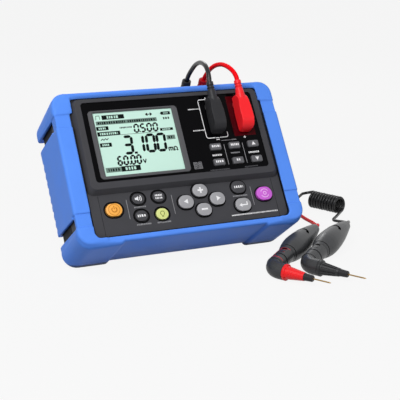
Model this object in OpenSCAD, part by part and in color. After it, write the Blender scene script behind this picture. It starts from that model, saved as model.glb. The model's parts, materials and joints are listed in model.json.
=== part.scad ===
/* [Protective boot] */
// Width over the boot
boot_w = 199; // [185:0.5:240]
// Height over the boot, measured along the face
boot_h = 132; // [124:0.5:170]
// Depth from the front of the raised frame to the rear of the corner bumpers
boot_d = 60.6; // [58:0.2:75]
// Radius of the boot's corners seen from the front
boot_corner_r = 12; // [9:0.5:16]
// How much deeper the boot is along its top edge than along its bottom edge
boot_wedge = 5; // [0:0.5:6]
// Rounding of the front edges at the four corners
corner_front_r = 7; // [4:0.5:9]
// Rounding of the front edges where the corner bumpers end
boot_front_r = 4.5; // [2:0.5:5]
// Rounding of the front edges of the walls between the bumpers
wall_front_r = 2.5; // [1.5:0.25:5]
// Rounding of the rear edges of the boot
boot_rear_r = 4; // [2:0.5:5]
// How far each lower bumper reaches along the long side
bumper_len = 38; // [30:1:48]
// How far each upper bumper reaches along the long side
top_bumper_len = 16.5; // [14:0.5:30]
// Depth of the lower bumpers below the boot's bottom wall
bumper_rise = 2; // [1:0.25:3]
// Height of the upper bumpers above the boot's top wall
top_rise = 0.6; // [0.3:0.1:2]
// How far the bumpers stand behind the top and bottom walls
bumper_back = 4.2; // [2:0.2:5]
// How far the bumpers stand behind the side walls
side_back = 0.8; // [0.4:0.2:3]
// Width of the boot's front rim beyond the front window, at the sides
rim_side = 14.1; // [11:0.1:18]
// Width of the boot's front rim at the top and bottom
rim_end = 6.7; // [5.8:0.1:10]
// Height of the slanted strap slots at their front end
slot_w = 9; // [6:0.5:12]
// Depth of the shallow bands that cross the rim beside each strap slot
band_depth = 0.9; // [0.3:0.1:1.2]

/* [Case] */
// Width of the bare case
case_w = 192; // [178:0.5:233]
// Height of the bare case
case_h = 121; // [114:0.5:158]
// Depth of the bare case
case_d = 55; // [52:0.2:68]
// Depth of the front shell, from the frame to the parting line
front_shell_d = 26; // [24:0.5:30]
// Radius of the case corners
case_corner_r = 8; // [5:0.5:12]
// Wall thickness of the two shells
wall = 2.2; // [1.8:0.1:3]
// How far the raised frame stands in front of the boot's rim
frame_proud = 2; // [1:0.2:3]
// How far the key deck lies behind the boot's rim
deck_drop = 2.5; // [2:0.1:4]

/* [Display panel] */
// Width of the raised frame
frame_w = 162.6; // [150:0.2:164]
// Height of the raised frame
frame_h = 77.9; // [70:0.1:79]
// Thickness of the glossy front panel
panel_t = 1.5; // [1:0.1:2]
// Width of the display opening
view_w = 68.7; // [60:0.1:70]
// Height of the display opening
view_h = 55.2; // [48:0.1:56]

/* [Keys] */
// Key travel
key_travel = 0.8; // [0.4:0.1:1.2]
// Gap round each key
key_gap = 0.45; // [0.3:0.05:0.6]
// Width of the rectangular keys
rect_key_w = 10; // [8:0.25:12]
// Height of the rectangular keys
rect_key_h = 6; // [5:0.25:7]

/* [Jacks and plugs] */
// Distance between the two jacks of one colour
jack_pitch = 19.05; // [18:0.05:20]
// Bore of the jack contacts
jack_bore = 4; // [3.9:0.01:4.2]
// Diameter of the plug pins
plug_pin_d = 3.9; // [3.6:0.01:3.98]
// Width of a double plug
plug_w = 11; // [9:0.5:13]
// Length of a double plug's body
plug_len = 32; // [29:0.5:36]
// Height of a double plug above the panel
plug_high = 12.5; // [11:0.5:15]

/* [Power] */
// Length of one cell
cell_len = 50.5; // [48:0.1:51]
// Diameter of one cell
cell_d = 14.5; // [13:0.1:14.6]

/* [Stand] */
// Angle of the face from the table
lean = 56; // [50:0.5:62]
// Distance from the stand's hinge to its foot
stand_len = 90.5; // [89:0.25:92]
// Width of the stand
stand_w = 118; // [90:1:120]
// Diameter of the stand's hinge pin
hinge_d = 3; // [2.5:0.1:3.2]

/* [Probes] */
// Length of a probe's grip, from the bend to the tail
grip_len = 100; // [90:1:112]
// Largest diameter of the grip
grip_d = 20.8; // [18:0.2:24]
// Diameter of the bent neck
elbow_d = 13.2; // [12:0.2:15]
// Angle by which the neck turns
elbow_turn = 80; // [50:1:85]
// Diameter of the contact pin
tip_d = 1.1; // [1:0.1:2]
// Length of the contact pin outside the nose
tip_out = 15.5; // [12:0.5:20]
// Travel of the sprung contact pin
tip_travel = 2.5; // [1:0.1:4]

/* [Cable] */
// Diameter of the main cable
cable_d = 6; // [5:0.1:7]
// Diameter of the short cords on the plugs
short_cord_d = 4; // [3.5:0.1:4.5]
// Diameter of the red probe's cord
red_cord_d = 3.2; // [2.8:0.1:3.6]
// Diameter of the black probe's cord
black_cord_d = 2.8; // [2.4:0.1:3.2]
// Outer diameter of the curly cord's coil
curl_d = 17.2; // [14:0.2:18]
// Mean diameter of the stored turns of the main cable
store_d = 66; // [60:1:72]

/* [Hidden] */
fit = 0.25;
skim = 0.3;
tiny = 0.01;
smooth = 32;
$fn = 48;

// The face frame has x to the right, y up the face and z out of the face, with z = 0 at the boot's rim.
frame_z = frame_proud;
deck_z = -deck_drop;
split_z = frame_z - front_shell_d;
case_back_z = frame_z - case_d;
boot_back_z = frame_z - boot_d;
deck_under_z = deck_z - wall;
lip_under_z = deck_z + fit;

// Tilt of the boot's rear plane against its front
wedge_angle = atan(boot_wedge / boot_h);
rear_most = boot_back_z - boot_wedge;

// How far the side walls lie inside the bumpers
wall_set = 0.4;

// Shallow bands across the rim: middle and height of each
band_y = [-43.3, 41];
band_h = 11.6;

// The window in the front of the boot
window_w = boot_w - 2 * rim_side;
window_h = boot_h - 2 * rim_end;
window_r = 5;
window_step = 2.2;
tab_drop = 12;

// The raised frame and the panel set into it
frame_c = [0, window_h / 2 - 1.8 - frame_h / 2];
frame_r = 4.5;
frame_flank = 3.4;
frame_flank_top = 1.4;
panel_sink = 0.8;
panel_w = frame_w - 10.4;
panel_h = frame_h - 9.2;
panel_c = [0, frame_c[1] + 1.2];
panel_z = frame_z - panel_sink;
pocket_z = panel_z - panel_t;
floor_t = 2;
floor_z = pocket_z - floor_t;

// The display
view_c = [-33, frame_c[1] - 0.7];
bezel_side = 4.4;
bezel_top = 1.5;
bezel_bottom = 2.6;
bezel_w = view_w + 2 * bezel_side;
bezel_h = view_h + bezel_top + bezel_bottom;
bezel_c = [view_c[0], view_c[1] + (bezel_top - bezel_bottom) / 2];
bezel_rise = 0.25;
bezel_ledge = 1.2;
glass_t = 1.9;
light_t = 3;

// Jacks: x of the black pair and of the red pair, and the height of their middle
jack_x = [36.4, 62.3];
jack_y = panel_c[1] + 13.6;
jack_sleeve_d = 10;
jack_depth = 22;
contact_d = 5.2;
jack_rim = 0.5;

// Oval keys: name, x, y, width, height, rise of the crown over the deck, ring round it, colour
OVAL_KEYS = [
    ["key_power", -65.7, -37.3, 13.3, 10.4, 1.6, 1, "orange"],
    ["key_speaker", -43.9, -30.1, 10.2, 8.5, 0.7, 1, "dimgray"],
    ["key_setup", -26.4, -30.2, 10.1, 8.5, 0.7, 1, "dimgray"],
    ["key_compare", -44.1, -44.6, 10.2, 8.5, 0.7, 1, "dimgray"],
    ["key_lamp", -26.5, -44.9, 10.3, 9.1, 1.0, 1, "khaki"],
    ["key_up", 9.7, -29.2, 13, 10.7, 2.8, 0, "silver"],
    ["key_left", -4.5, -37.6, 13, 11, 2.8, 0, "silver"],
    ["key_right", 23.5, -37.7, 13.1, 10.7, 2.8, 0, "silver"],
    ["key_down", 9.7, -45.7, 12.7, 10.5, 2.8, 0, "silver"],
    ["key_memory", 44.8, -29.6, 12.6, 10.6, 2.0, 0, "dimgray"],
    ["key_enter", 45, -45.4, 14, 11, 2.8, 0, "silver"],
    ["key_view", 66.5, -37.8, 14.2, 11.4, 2.8, 0, "orchid"]
];
key_flange = 1;
flange_t = 1.1;
ring_w = 0.6;
ring_depth = 0.8;
stem_z = -6.6;

// Rectangular keys: name, column, row
RECT_KEYS = [
    ["key_store", 0, 0],
    ["key_table", 1, 0],
    ["key_range_up", 2, 0],
    ["key_recall", 0, 1],
    ["key_auto", 1, 1],
    ["key_range_down", 2, 1]
];
rect_key_x = [31.9, 49.3, 66.7];
rect_key_y = [6.5, -7.3];
rect_key_rise = 1.8;
rect_key_r = 1.2;

// Board and key mat, behind the deck
board_t = 1.6;
board_z = -9.4;
mat_t = 0.8;
nub_d = 6;
nub_z = stem_z - key_travel - skim;
mat_w = 149;

// Screws that hold the shells together
post_x = case_w / 2 - 16;
post_y = case_h / 2 - 14.5;
post_d = 8.4;
post_neck_d = 6;
screw_d = 3;
screw_head_d = 5.6;
screw_head_t = 2;
screw_end_z = -14;
sink_depth = 3;

// Recess in the back that holds the folded stand and the battery cover
recess_depth = 5.4;
recess_w = stand_w + 6;
recess_top = 44;
recess_z = case_back_z + recess_depth;
lid_t = 2;
lid_in_z = recess_z + lid_t;

// Battery bay: two columns of four cells lying side to side
cell_pitch = cell_d + 0.3;
cell_rows = 4;
bay_gap = 0.45;
spring_t = 3;
rib_t = 2;
cell_x = rib_t / 2 + 1.5 + cell_len / 2;
bay_w = 2 * (cell_x + cell_len / 2 + spring_t);
bay_h = cell_pitch * (cell_rows - 1) + cell_d + 2 * bay_gap;
bay_y = -16.5;
bay_wall = 1.6;
bay_floor_z = lid_in_z + 0.4 + cell_d + skim;
cell_z = bay_floor_z - skim - cell_d / 2;
lid_ledge = 1.3;
lid_w = bay_w + 2 * lid_ledge;
lid_h = bay_h + 2 * lid_ledge;
tab_w = 14;
tab_h = 10;
lid_screw_y = bay_y + lid_h / 2 + tab_h / 2;

// Stand: the hinge and the swing that brings its foot to the table
hinge_y = 36;
stand_t = 4.4;
hinge_z = recess_z - 2.7;
barrel_d = 5.2;
barrel_len = recess_w - 1;
foot_dip = 0.8;
hinge_gap = 0.05;
low_edge = [
    boot_rear_r * (cos(wedge_angle) + sin(wedge_angle)) - boot_h / 2,
    boot_back_z + boot_rear_r * (cos(wedge_angle) - sin(wedge_angle))
];
lift = boot_rear_r - low_edge[0] * sin(lean) - low_edge[1] * cos(lean);
hinge_high = lift + hinge_y * sin(lean) + hinge_z * cos(lean);
stand_swing = 90 - lean + acos((hinge_high + foot_dip) / stand_len);
front_reach = (boot_h / 2 - boot_front_r) * cos(lean) - boot_front_r * sin(lean) + boot_front_r;
top_edge = [
    (boot_h - boot_rear_r) * cos(wedge_angle) + boot_rear_r * sin(wedge_angle) - boot_h / 2,
    boot_back_z + boot_rear_r * cos(wedge_angle) - (boot_h - boot_rear_r) * sin(wedge_angle)
];
back_reach = top_edge[0] * cos(lean) - top_edge[1] * sin(lean) + boot_rear_r;
origin_y = (front_reach - back_reach) / 2;

// A point of the face frame, in the table's frame
function placed(p) = [
    p[0],
    p[1] * cos(lean) - p[2] * sin(lean) + origin_y,
    p[1] * sin(lean) + p[2] * cos(lean) + lift
];

// Probe sizes, measured from the bend
bend_r = 10;
bend_in = bend_r * tan(elbow_turn / 2);
collar_x = 31;
belly_x = 51;
thumb_x = 67;
thumb_r = 4.6;
thumb_deep = 1.7;
tail_d = 8.4;
cord_seat = 3.5;
flange_x = 12.9;
flange_d = elbow_d + 0.3;
nose_end = 30.9;
cap_end = 38.5;
nose_d = 10.8;
nose_small_d = 6.8;
cap_d = 5.3;
tip_gap = 0.05;
tip_in = 8;
probe_tilt = asin((grip_d - flange_d) / 2 / belly_x) + 0.1;
probe_high = flange_d / 2 + 0.35;
red_probe_at = [boot_w / 2 - 54.1, -100.9];
black_probe_at = [boot_w / 2 - 23.9, -103.0];
probe_heading = 39.5;

// Ends of the curly stretch
curl_from = [boot_w / 2 + 83.2, 71.8, 8.7];
curl_to = [boot_w / 2 + 95.8, 40.0, 8.7];

// The strain relief of a double plug leans away from the panel
relief_z = 8.4;
relief_lean = 6;
relief_len = 13;

// Where the short cords leave the plugs, where the joint behind the tester holds them, and its lower end
cord_from = [for (x = jack_x) placed([
    x,
    jack_y + plug_len / 2 - 1 + (relief_len - 1.6) * cos(relief_lean),
    panel_z + jack_rim + skim + relief_z + (relief_len - 1.6) * sin(relief_lean)
])];
joint_tilt = 26;
sleeve_gap = 16.4;
joint_at = placed([48.5, top_edge[0], top_edge[1]]) + [0, -1.6, 33.1];
function in_joint(x, z) = joint_at + [x, -z * sin(joint_tilt), z * cos(joint_tilt)];

// Stored turns of the main cable, and the joint where it parts into the two probe cords
store_at = [30, 150];
store_rows = 2;
store_columns = 3;
split_at = [112, 113, 4.6];

// A point on a probe's axis, at a distance from the bend
function on_axis(at, x) = [
    at[0] + x * cos(probe_tilt) * cos(probe_heading),
    at[1] + x * cos(probe_tilt) * sin(probe_heading),
    probe_high + x * sin(probe_tilt)
];

// Routes of the cords between two points: share of the way, step to the side, step up
function laid(from, to, rows) = [for (r = rows) from + (to - from) * r[0] + [r[1], 0, r[2]]];
black_short_route = laid(cord_from[0], in_joint(-sleeve_gap / 2, -0.5), [
    [0, 0, 0], [0.017, -0.1, 2], [0.042, 0.2, 5.4], [0.11, 0.6, 10.4], [0.224, 1.1, 14.6], [0.375, 1.6, 16.8],
    [0.526, 1.8, 16.9], [0.694, 1.7, 14.6], [0.828, 1.2, 10.1], [0.929, 0.4, 5.1], [1, 0, 0]
]);
red_short_route = laid(cord_from[1], in_joint(sleeve_gap / 2, -0.5), [
    [0, 0, 0], [0.017, 0.1, 2], [0.042, 0, 5.1], [0.116, -0.4, 9.1], [0.241, -0.7, 12.6], [0.392, -0.4, 14.4],
    [0.535, 0, 14.5], [0.677, 0.1, 12.9], [0.795, -0.2, 9.7], [0.904, -0.2, 5.1], [1, 0, 0]
]);
drop_route = laid(in_joint(0, -43), [store_at[0] + 4.2, store_at[1] - 40.5, 12.4], [
    [0, 0, 0], [0.157, 2.2, 2.6], [0.322, 4.6, 1.2], [0.481, 6.6, -1.6], [0.654, 7.5, -2.7],
    [0.818, 6.2, -2.1], [0.951, 2.7, -0.6], [1, 0, 0]
]);
far_route = laid([store_at[0] + 41, store_at[1] - 8, cable_d / 2], split_at - [17, 0, 0], [
    [0, 0, 0], [0.224, -3, -0.4], [0.466, -5.2, -0.7], [0.69, -5.6, -1.1], [0.897, -4.5, -0.8],
    [1, 0, 0]
]);
red_route = laid(split_at + [10.5, -4, -1.6], on_axis(red_probe_at, grip_len - cord_seat), [
    [0, 0, 0], [0.02, 9.6, -1.4], [0.087, 20.7, -2.4], [0.195, 28.6, -3.6], [0.316, 32.4, -4.9],
    [0.437, 32.7, -6.1], [0.545, 29.6, -6.1], [0.659, 26.3, -5.6], [0.773, 21.6, -4.8],
    [0.846, 18.3, -3.4], [0.909, 13.7, -0.3], [0.964, 6.4, 1], [1, 0, 0]
]);
black_route = laid(split_at + [10.5, 4, -1.6], curl_from + [0.8, 0.6, 7.4], [
    [0, 0, 0], [0, 11.5, -1.4], [0.022, 24.2, -1.9], [0.135, 31.3, -3.4], [0.291, 29.7, -5.2],
    [0.448, 25.2, -6.5], [0.594, 18.5, -6], [0.729, 10.6, -3.5], [0.857, 3.4, -1], [0.96, -1.1, 0],
    [1, 0, 0]
]);
curl_route = [for (i = [0:3]) curl_from + (curl_to - curl_from) * i / 3];
tail_route = laid(curl_to + [-0.4, 0.8, -7], on_axis(black_probe_at, grip_len - cord_seat), [
    [0, 0, 0], [0.07, 1.1, -1.1], [0.167, -1.4, -2.4], [0.235, -6.3, -3.2], [0.269, -7.8, -3.7],
    [0.308, -4.2, -4], [0.378, 0.7, -4.2], [0.494, 5.1, -4.1], [0.615, 6.8, -3], [0.736, 7.9, -0.9],
    [0.84, 7, 1.4], [0.935, 3.6, 1.4], [1, 0, 0]
]);

// Places a piece drawn in the face frame on the table, leaning back
module on_table() {
    translate([0, origin_y, lift]) rotate([lean, 0, 0]) children();
}

// Places a piece drawn in the folded stand's frame at the stand's open position
module on_hinge() {
    on_table() translate([0, hinge_y, hinge_z]) rotate([stand_swing, 0, 0]) children();
}

module round_rect(w, h, r) {
    square([w - 2 * r, h], center = true);
    square([w, h - 2 * r], center = true);
    for (x = [-1, 1], y = [-1, 1])
        translate([x * (w / 2 - r), y * (h / 2 - r)]) circle(r = r);
}

// Rounded plate centred on c, between two heights
module plate(c, w, h, r, z0, z1) {
    translate([c[0], c[1], z0]) linear_extrude(z1 - z0) round_rect(w, h, r);
}

// Box between two corners
module block(low, high) {
    translate(low) cube(high - low);
}

module disc(p, r, z0, z1) {
    translate([p[0], p[1], z0]) cylinder(r = r, h = z1 - z0);
}

// Upright plate with an oval outline of two round ends
module oval_plate(p, w, h, z0, z1) {
    translate([p[0], p[1], z0]) linear_extrude(z1 - z0) {
        square([w - h, h], center = true);
        for (s = [-1, 1]) translate([s * (w - h) / 2, 0]) circle(d = h);
    }
}

// Ends of an upright post with a rounded rim: the rear end starts at z and the front end stops there
module rear_end(p, r, z, rim) {
    translate([p[0], p[1], z]) rotate_extrude($fn = smooth)
        polygon([for (a = [0:15:90]) [r - rim + rim * sin(a), rim - rim * cos(a)], [0, rim], [0, 0]]);
}

module front_end(p, r, z, rim) {
    translate([p[0], p[1], z]) rotate_extrude($fn = smooth)
        polygon([for (a = [0:15:90]) [r - rim + rim * cos(a), rim * sin(a) - rim], [0, 0], [0, -rim]]);
}

// Tips the rear of the boot back about its lower rear edge
module tipped() {
    pivot = [0, -boot_h / 2, boot_back_z];
    translate(pivot) rotate([-wedge_angle, 0, 0]) translate(-pivot) children();
}

// Soft block with one large corner radius, at the corner that signs sx and sy point to
module bumper(sx, sy) {
    long = sy > 0 ? top_bumper_len : bumper_len;
    outer = [boot_w / 2 - boot_corner_r, boot_h / 2 - boot_corner_r];
    inner = [boot_w / 2 - long + boot_rear_r, boot_h / 2 - bumper_side(sy) + boot_rear_r];
    edge = [boot_w / 2 - boot_rear_r, boot_h / 2 - boot_rear_r];
    ends = [[inner[0], edge[1]], [edge[0], inner[1]], inner];
    hull() {
        front_end([sx * outer[0], sy * outer[1]], boot_corner_r, 0, corner_front_r);
        for (p = ends) front_end([sx * p[0], sy * p[1]], boot_rear_r, 0, boot_front_r - 0.6);
        tipped() {
            rear_end([sx * outer[0], sy * outer[1]], boot_corner_r, boot_back_z, boot_rear_r);
            for (p = ends) rear_end([sx * p[0], sy * p[1]], boot_rear_r, boot_back_z, boot_rear_r - tiny);
        }
    }
}

// Lower edge and front end of the strap slots, upper and lower
function slot_low(sy) = sy > 0 ? 37 : -49;
function slot_front(sy) = sy > 0 ? -12 : -6;
function bumper_side(sy) = sy > 0 ? boot_h / 2 - slot_low(sy) - slot_w : boot_h / 2 + slot_low(sy);

// Side wall between the bumpers
module side_wall(sx) {
    r = 3;
    out = boot_w / 2 - wall_set - 0.15 - r;
    ends = [for (x = [out - 7, out], y = [-boot_h / 2 + 16, boot_h / 2 - 18]) [sx * x, y]];
    hull() {
        for (p = ends) front_end(p, r, -1, 2);
        tipped() for (p = ends) rear_end(p, r, boot_back_z + side_back, 2);
    }
}

module boot_walls() {
    r = boot_corner_r - 1;
    w = boot_w / 2 - wall_set - r;
    high = boot_h / 2 - top_rise - r;
    low = boot_h / 2 - bumper_rise - r;
    corners = [[-w, high], [w, high], [-w, -low], [w, -low]];
    hull() {
        for (p = corners) front_end(p, r, -0.3, wall_front_r);
        tipped() for (p = corners) rear_end(p, r, boot_back_z + bumper_back, 2);
    }
    for (sx = [-1, 1]) side_wall(sx);
    for (sx = [-1, 1], sy = [-1, 1]) bumper(sx, sy);
}

// One slanted strap slot through the side wall, open at the rear
module strap_slot(sx, sy) {
    slant = 3;
    low = slot_low(sy);
    front = slot_front(sy);
    translate([sx * (boot_w / 2 - 8), 0, 0]) rotate([90, 0, 90]) translate([0, 0, sx > 0 ? 0 : -16])
        linear_extrude(16)
            polygon([
                [low, front], [low + slot_w, front - 0.5],
                [low + slot_w + slant, rear_most - 2], [low + slant, rear_most - 2]
            ]);
}

// Shallow band across the rim and down the side wall, as far as the slot
module band(sx, y, low) {
    edge = boot_w / 2 - wall_set;
    translate([sx * (boot_w / 2 - 7), y, 0]) cube([18, band_h, 2 * band_depth + 0.6], center = true);
    translate([sx * edge, y, (low - 1) / 2]) cube([2 * band_depth, band_h, 1 - low], center = true);
}

// Finger scallops along the rear edge of a side wall
module scallops(sx) {
    tipped() for (i = [0:8])
        translate([sx * (boot_w / 2 + 0.9), -31 + i * 7.2, boot_back_z + side_back + 1.2])
            rotate([0, sx * 35, 0]) cylinder(r = 2.3, h = 9, center = true, $fn = 24);
}

// Tabs of the boot that narrow the front window at its two upper corners
module tab_shape(grow) {
    w = 10 + window_step + grow;
    low = window_h / 2 - tab_drop - grow;
    for (s = [-1, 1])
        translate([s * (window_w / 2 - window_step - grow + w / 2), low + 15]) square([w, 30], center = true);
}

module window_shape() {
    difference() {
        round_rect(window_w, window_h, window_r);
        tab_shape(0);
    }
}

module protector_boot() {
    rear_w = case_w - 24;
    rear_h = case_h - 18;
    bridge = boot_w - 2 * bumper_len - 2;
    top_reach = boot_w / 2 - top_bumper_len;
    top_in = window_h / 2 - 1.3;
    top_out = boot_h / 2 - 2.5;
    top_fall = 2.3;
    low_reach = boot_w / 2 - 23.5;
    rim_step = 0.6;
    color("royalblue") on_table() difference() {
        boot_walls();
        plate([0, 0], case_w + 2 * fit, case_h + 2 * fit, case_corner_r + fit, case_back_z - fit, lip_under_z);
        translate([0, 0, lip_under_z - 1]) linear_extrude(4) window_shape();
        plate([0, 0], rear_w, rear_h, 8, rear_most - 1, case_back_z);
        // Both long sides are open behind the case between the bumpers, which lets the stand fold in
        plate([0, 0], bridge, case_h + 2 * fit, 2, rear_most - 1, case_back_z);
        for (sx = [-1, 1], sy = [-1, 1]) {
            strap_slot(sx, sy);
            band(sx, band_y[sy > 0 ? 1 : 0], slot_front(sy));
        }
        for (sx = [-1, 1]) scallops(sx);
        // The top rim slopes in towards the window between its corners, and the bottom rim lies a little lower
        translate([-top_reach, 0, 0]) rotate([90, 0, 90]) linear_extrude(2 * top_reach)
            polygon([[top_in, -top_fall], [top_out, 0], [top_out, 1], [top_in, 1]]);
        block([-low_reach, -boot_h / 2 - 1, -rim_step], [low_reach, -window_h / 2 + 1, 1]);
    }
}

module frame_body() {
    hull() {
        plate([frame_c[0], frame_c[1] + (frame_flank_top - frame_flank) / 2], frame_w + 2 * frame_flank,
            frame_h + frame_flank + frame_flank_top, frame_r + 1, deck_z - 0.5, deck_z + tiny);
        plate(frame_c, frame_w, frame_h, frame_r, frame_z - tiny, frame_z);
    }
}

module posts_at() {
    for (x = [-1, 1], y = [-1, 1]) translate([x * post_x, y * post_y, 0]) children();
}

module rect_keys_at() {
    for (x = rect_key_x, y = rect_key_y) translate([x, y, 0]) children();
}

module jacks_at(pair) {
    for (y = [-1, 1]) translate([jack_x[pair], jack_y + y * jack_pitch / 2, 0]) children();
}

module front_case() {
    inner_w = case_w - 2 * wall;
    inner_h = case_h - 2 * wall;
    ring_out = key_gap + ring_w;
    frame_low = frame_h / 2 + frame_flank - frame_c[1];
    seam_x = frame_w / 2 - 4.8;
    seam_depth = 0.3;
    color([0.3, 0.3, 0.31]) on_table() difference() {
        union() {
            difference() {
                union() {
                    plate([0, 0], case_w, case_h, case_corner_r, split_z, deck_z);
                    difference() {
                        frame_body();
                        translate([0, 0, deck_z]) linear_extrude(10) tab_shape(skim);
                    }
                }
                plate([0, 0], inner_w, inner_h, case_corner_r - wall, split_z - 1, deck_under_z);
                plate(frame_c, frame_w - 2 * wall, frame_h - 2 * wall, 2, deck_under_z - 1, floor_z);
            }
            posts_at() {
                disc([0, 0], post_d / 2, board_z, deck_under_z + 0.5);
                disc([0, 0], post_neck_d / 2, split_z, board_z + 0.5);
            }
        }
        plate(panel_c, panel_w + 2 * fit, panel_h + 2 * fit, 2.5 + fit, pocket_z, frame_z + 1);
        plate(bezel_c, bezel_w - 2 * bezel_ledge, bezel_h - 2 * bezel_ledge, 1.5, floor_z - 2, frame_z);
        rect_keys_at()
            plate([0, 0], rect_key_w + 2 * key_gap, rect_key_h + 2 * key_gap, rect_key_r, floor_z - 2, frame_z);
        for (pair = [0, 1]) jacks_at(pair) disc([0, 0], jack_sleeve_d / 2 + fit, floor_z - 2, frame_z);
        for (k = OVAL_KEYS) {
            oval_plate([k[1], k[2]], k[3] + 2 * key_gap, k[4] + 2 * key_gap, deck_under_z - 1, frame_z + 1);
            if (k[6] > 0)
                oval_plate([k[1], k[2]], k[3] + 2 * ring_out, k[4] + 2 * ring_out,
                    deck_z - ring_depth, deck_z + 1);
        }
        for (s = [-1, 1]) translate([s * seam_x, -(window_h / 2 + frame_low) / 2, deck_z])
            cube([0.35, window_h / 2 - frame_low - 1.5, 2 * seam_depth], center = true);
        posts_at() disc([0, 0], screw_d / 2 + 0.05, split_z - 1, screw_end_z + 1);
    }
}

module lid_shape(grow) {
    translate([0, bay_y]) round_rect(lid_w + 2 * grow, lid_h + 2 * grow, 3);
    translate([0, lid_screw_y - 2]) round_rect(tab_w + 2 * grow, tab_h + 4 + 2 * grow, 3);
}

module rear_case() {
    inner_w = case_w - 2 * wall;
    inner_h = case_h - 2 * wall;
    ear_w = 5;
    color([0.27, 0.27, 0.28]) on_table() difference() {
        union() {
            difference() {
                plate([0, 0], case_w, case_h, case_corner_r, case_back_z, split_z);
                plate([0, 0], inner_w, inner_h, case_corner_r - wall, case_back_z + wall, split_z + 1);
            }
            // Alignment lip inside the front shell
            difference() {
                union() {
                    plate([0, 0], inner_w + 1, inner_h + 1, case_corner_r - wall + 0.5, split_z - 3, split_z);
                    plate([0, 0], inner_w - 2 * fit, inner_h - 2 * fit, case_corner_r - wall - fit,
                        split_z - 1, split_z + 1.5);
                }
                plate([0, 0], inner_w - 2.4, inner_h - 2.4, case_corner_r - wall - 1.2,
                    split_z - 4, split_z + 2);
            }
            // Walls of the recess and of the battery bay
            difference() {
                block([-recess_w / 2 - ear_w, -inner_h / 2 - 1, case_back_z + 0.5],
                    [recess_w / 2 + ear_w, recess_top + wall, lid_in_z]);
                block([-recess_w / 2 - ear_w - 1, -inner_h, case_back_z + wall],
                    [-recess_w / 2 - wall, hinge_y - 5, lid_in_z + 1]);
                block([recess_w / 2 + wall, -inner_h, case_back_z + wall],
                    [recess_w / 2 + ear_w + 1, hinge_y - 5, lid_in_z + 1]);
            }
            plate([0, bay_y], bay_w + 2 * bay_wall, bay_h + 2 * bay_wall, 2,
                recess_z + 0.5, bay_floor_z + bay_wall);
            disc([0, lid_screw_y], 6.5, recess_z + 0.5, lid_in_z + 6);
            posts_at() {
                disc([0, 0], post_d / 2, case_back_z + 0.5, split_z);
            }
        }
        // Stand recess, open at the bottom edge
        block([-recess_w / 2, -case_h, case_back_z - 1], [recess_w / 2, recess_top, recess_z]);
        // Battery bay, its rib and the seat of its cover
        difference() {
            plate([0, bay_y], bay_w, bay_h, 1, recess_z - 1, bay_floor_z);
            block([-rib_t / 2, -case_h, lid_in_z + 1], [rib_t / 2, case_h, bay_floor_z + 1]);
        }
        translate([0, 0, recess_z - 1]) linear_extrude(lid_t + 1) lid_shape(fit);
        disc([0, lid_screw_y], 1.3, recess_z, lid_in_z + 5);
        // Hinge pin bores
        translate([-recess_w / 2 - 4, hinge_y, hinge_z]) rotate([0, 90, 0])
            cylinder(r = hinge_d / 2 + hinge_gap, h = recess_w + 8);
        posts_at() {
            disc([0, 0], screw_d / 2 + 0.2, case_back_z - 1, split_z + 1);
            disc([0, 0], screw_head_d / 2 + 0.3, case_back_z - 1, case_back_z + sink_depth);
            disc([0, 0], post_neck_d / 2 + 0.1, split_z - 1, split_z + 1);
        }
    }
}

module window_panel() {
    color([0.05, 0.05, 0.06]) on_table() difference() {
        plate(panel_c, panel_w, panel_h, 2.5, pocket_z, panel_z);
        plate(bezel_c, bezel_w + 2 * fit, bezel_h + 2 * fit, 3 + fit, pocket_z - 1, panel_z + 1);
        rect_keys_at() plate([0, 0], rect_key_w + 2 * key_gap, rect_key_h + 2 * key_gap, rect_key_r + key_gap,
            pocket_z - 1, panel_z + 1);
        for (pair = [0, 1]) jacks_at(pair) disc([0, 0], jack_sleeve_d / 2 + fit, pocket_z - 1, panel_z + 1);
    }
}

module display_bezel() {
    color([0.42, 0.42, 0.43]) on_table() difference() {
        plate(bezel_c, bezel_w, bezel_h, 3, pocket_z, panel_z + bezel_rise);
        plate(view_c, view_w, view_h, 0.8, pocket_z - 1, frame_z + 1);
        // Sloping inner edge
        hull() {
            plate(view_c, view_w + 1.6, view_h + 1.6, 1.6, panel_z + bezel_rise, panel_z + bezel_rise + 1);
            plate(view_c, view_w, view_h, 0.8, panel_z + bezel_rise - 0.8, panel_z + bezel_rise);
        }
    }
}

module display_glass() {
    w = bezel_w - 2 * bezel_ledge - 0.4;
    h = bezel_h - 2 * bezel_ledge - 0.4;
    color([0.8, 0.92, 0.87]) on_table() plate(bezel_c, w, h, 1, pocket_z - glass_t, pocket_z);
}

module backlight() {
    w = bezel_w - 0.4;
    h = bezel_h - 1;
    color("white") on_table() union() {
        plate(bezel_c, w, h, 1, floor_z - light_t, floor_z);
        plate(bezel_c, bezel_w - 2 * bezel_ledge - 0.4, bezel_h - 2 * bezel_ledge - 0.4, 1,
            floor_z - 0.5, pocket_z - glass_t);
        // Two pegs stand on the board
        for (x = [-0.4, 0.4]) translate([bezel_c[0] + x * w, bezel_c[1], board_z])
            cylinder(r = 2, h = floor_z - light_t - board_z + 0.5);
    }
}

module board_outline() {
    difference() {
        square([case_w - 2 * wall - 12, case_h - 2 * wall - 10], center = true);
        translate([jack_x[0] - 10, jack_y - jack_pitch / 2 - 10]) square([case_w, case_h]);
        for (x = [-1, 1], y = [-1, 1]) translate([x * post_x, y * post_y]) circle(r = post_neck_d / 2 + 0.2);
    }
}

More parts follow.
